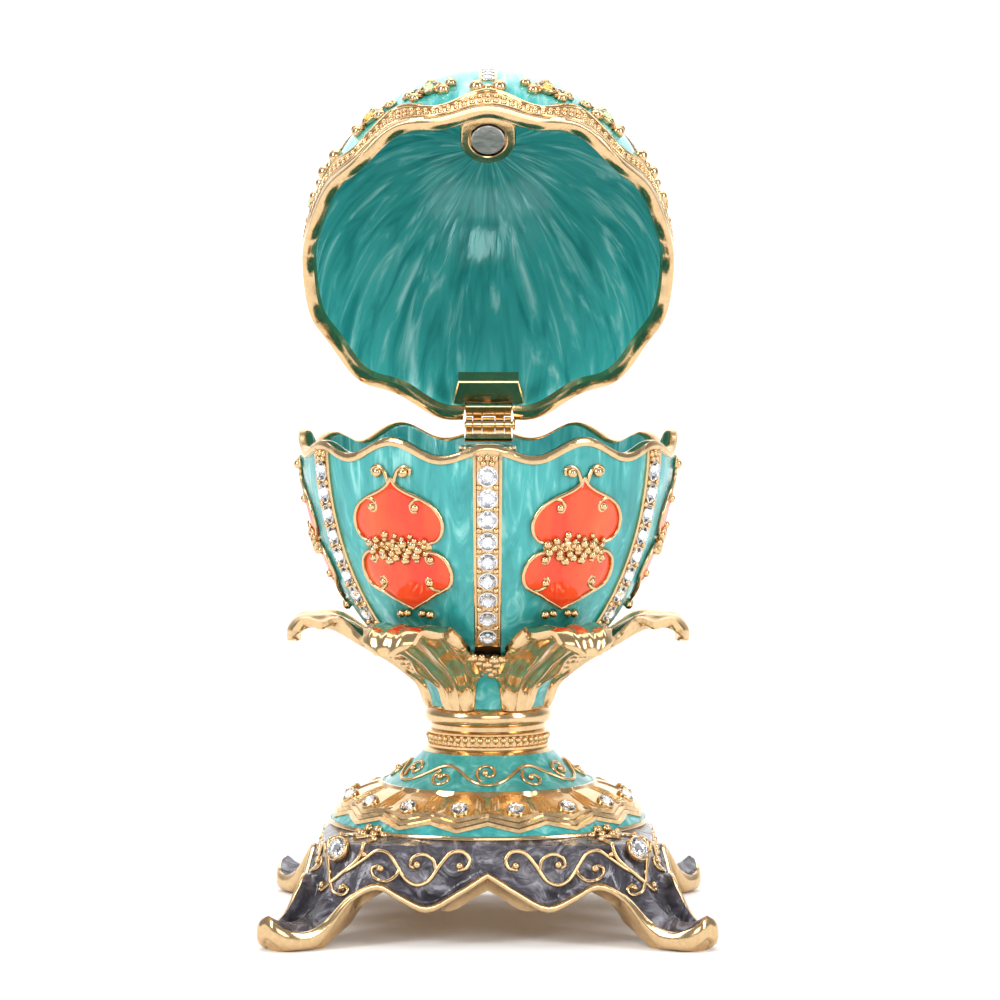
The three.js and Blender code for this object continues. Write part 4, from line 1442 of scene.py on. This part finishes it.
# The rosette: a ring of grains round one larger stone.
for i in range(12):
    azimuth = math.tau * i / 12
    spot = on_egg(lid_radius, azimuth, 0, crown - 0.28, 0.1)
    lid_grains.append((spot, Vector((0, 0, 1)), even(0.42)))
lid_band_spots.append((Vector((0, 0, crown - 0.62)), Vector((0, 0, 1)), even(1.25)))


def swung(spots):
    return [(opened(p), Matrix.Rotation(-lid_opening, 3, "X") @ Vector(out), size)
            for p, out, size in spots]


lid_bands = make_piece("lid_bands", swing(lid_band_form), [gold_plate])
lid_wirework = lay_wires("lid_wirework", [[(opened(p), half) for p, half in path] for path in lid_wires])
lid_beading = place_each("lid_beading", swung(lid_grains), grain, gold_plate)
lid_ball_work = place_each("lid_balls", swung(lid_balls), ball, gold_plate)
for piece in (lid_bands, lid_wirework, lid_beading, lid_ball_work):
    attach(piece, "lid")
amber_crystal = crystal("amber_crystal", (0.95, 0.55, 0.12), 1.58)
green_crystal = crystal("green_crystal", (0.62, 0.78, 0.38), 1.58)
set_stones("lid_amber_stones", swung(amber_spots), amber_crystal, [], "lid")
set_stones("lid_green_stones", swung(green_spots), green_crystal, [], "lid")
lid_band_stones = place_each("lid_band_stones", swung(lid_band_spots), brilliant, clear_crystal)
# The foils sit proud of the band, so that they show through the shallow stones.
lid_foil_spots = [(p + out * lid_foil_lift, out, size) for p, out, size in lid_band_spots]
lid_band_foils = place_each("lid_band_foils", swung(lid_foil_spots), foil_cup, silver_foil)
for piece, its_slot in ((lid_band_stones, "crystal"), (lid_band_foils, "magnet_steel")):
    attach(piece, "lid")

# ---- Floor, light and camera ----------------------------------------------------------------
# A pale sweep of card, soft lights at the left, the right and the front, one above, one that washes
# the card behind, and a long lens that looks a little down.

sweep = new_form()
sweep_rows = [(-3000, -0.05), (500, -0.05), (700, 12), (850, 80), (930, 200), (960, 420), (960, 1100)]
sweep["points"] = [Vector((x, y, z)) for y, z in sweep_rows for x in (-3000, 3000)]
sweep["faces"] = [(2 * i, 2 * i + 1, 2 * i + 3, 2 * i + 2) for i in range(len(sweep_rows) - 1)]
card, _, card_shader = new_finish("pale_card")
card_shader.inputs["Base Color"].default_value = (0.90, 0.90, 0.90, 1)
card_shader.inputs["Roughness"].default_value = 0.8
floor = make_piece("sweep", sweep, [card], sharp=60)

studio = bpy.data.worlds.new("studio")
studio.use_nodes = True
studio.node_tree.nodes["Background"].inputs["Color"].default_value = (0.92, 0.95, 1.0, 1)
studio.node_tree.nodes["Background"].inputs["Strength"].default_value = 0.40
bpy.context.scene.world = studio


def soft_light(name, place, aim, width, height, watts):
    light = bpy.data.lights.new(name, "AREA")
    light.shape = "RECTANGLE"
    light.size, light.size_y, light.energy = width, height, watts
    lamp = bpy.data.objects.new(name, light)
    lamp.location = place
    lamp.rotation_euler = (Vector(aim) - Vector(place)).to_track_quat("-Z", "Y").to_euler()
    bpy.context.scene.collection.objects.link(lamp)


soft_light("left_soft", (-0.42, -0.34, 0.36), (0, 0, 0.05), 0.16, 0.42, 2.2)
soft_light("right_soft", (0.45, -0.28, 0.26), (0, 0, 0.05), 0.14, 0.38, 1.5)
soft_light("front_soft", (0.06, -0.62, 0.22), (0, 0, 0.07), 0.30, 0.22, 0.85)
soft_light("top_soft", (0, 0.02, 0.55), (0, 0, 0.03), 0.5, 0.35, 1.3)
soft_light("card_wash", (0, 0.35, 0.75), (0, 0.95, 0.2), 1.6, 0.5, 11.0)

lens = bpy.data.cameras.new("front_lens")
lens.lens = 169.9
lens.sensor_width = 36
lens.clip_end = 10
lens.clip_start = 0.01
front_camera = bpy.data.objects.new("front_camera", lens)
front_camera.location = (0.0015, axis_y - 0.590, 0.090)
aim = Vector((0.0015, axis_y, 0.05275))
front_camera.rotation_euler = (aim - front_camera.location).to_track_quat("-Z", "Y").to_euler()
bpy.context.scene.collection.objects.link(front_camera)
bpy.context.scene.camera = front_camera
bpy.context.scene.view_settings.view_transform = "Standard"
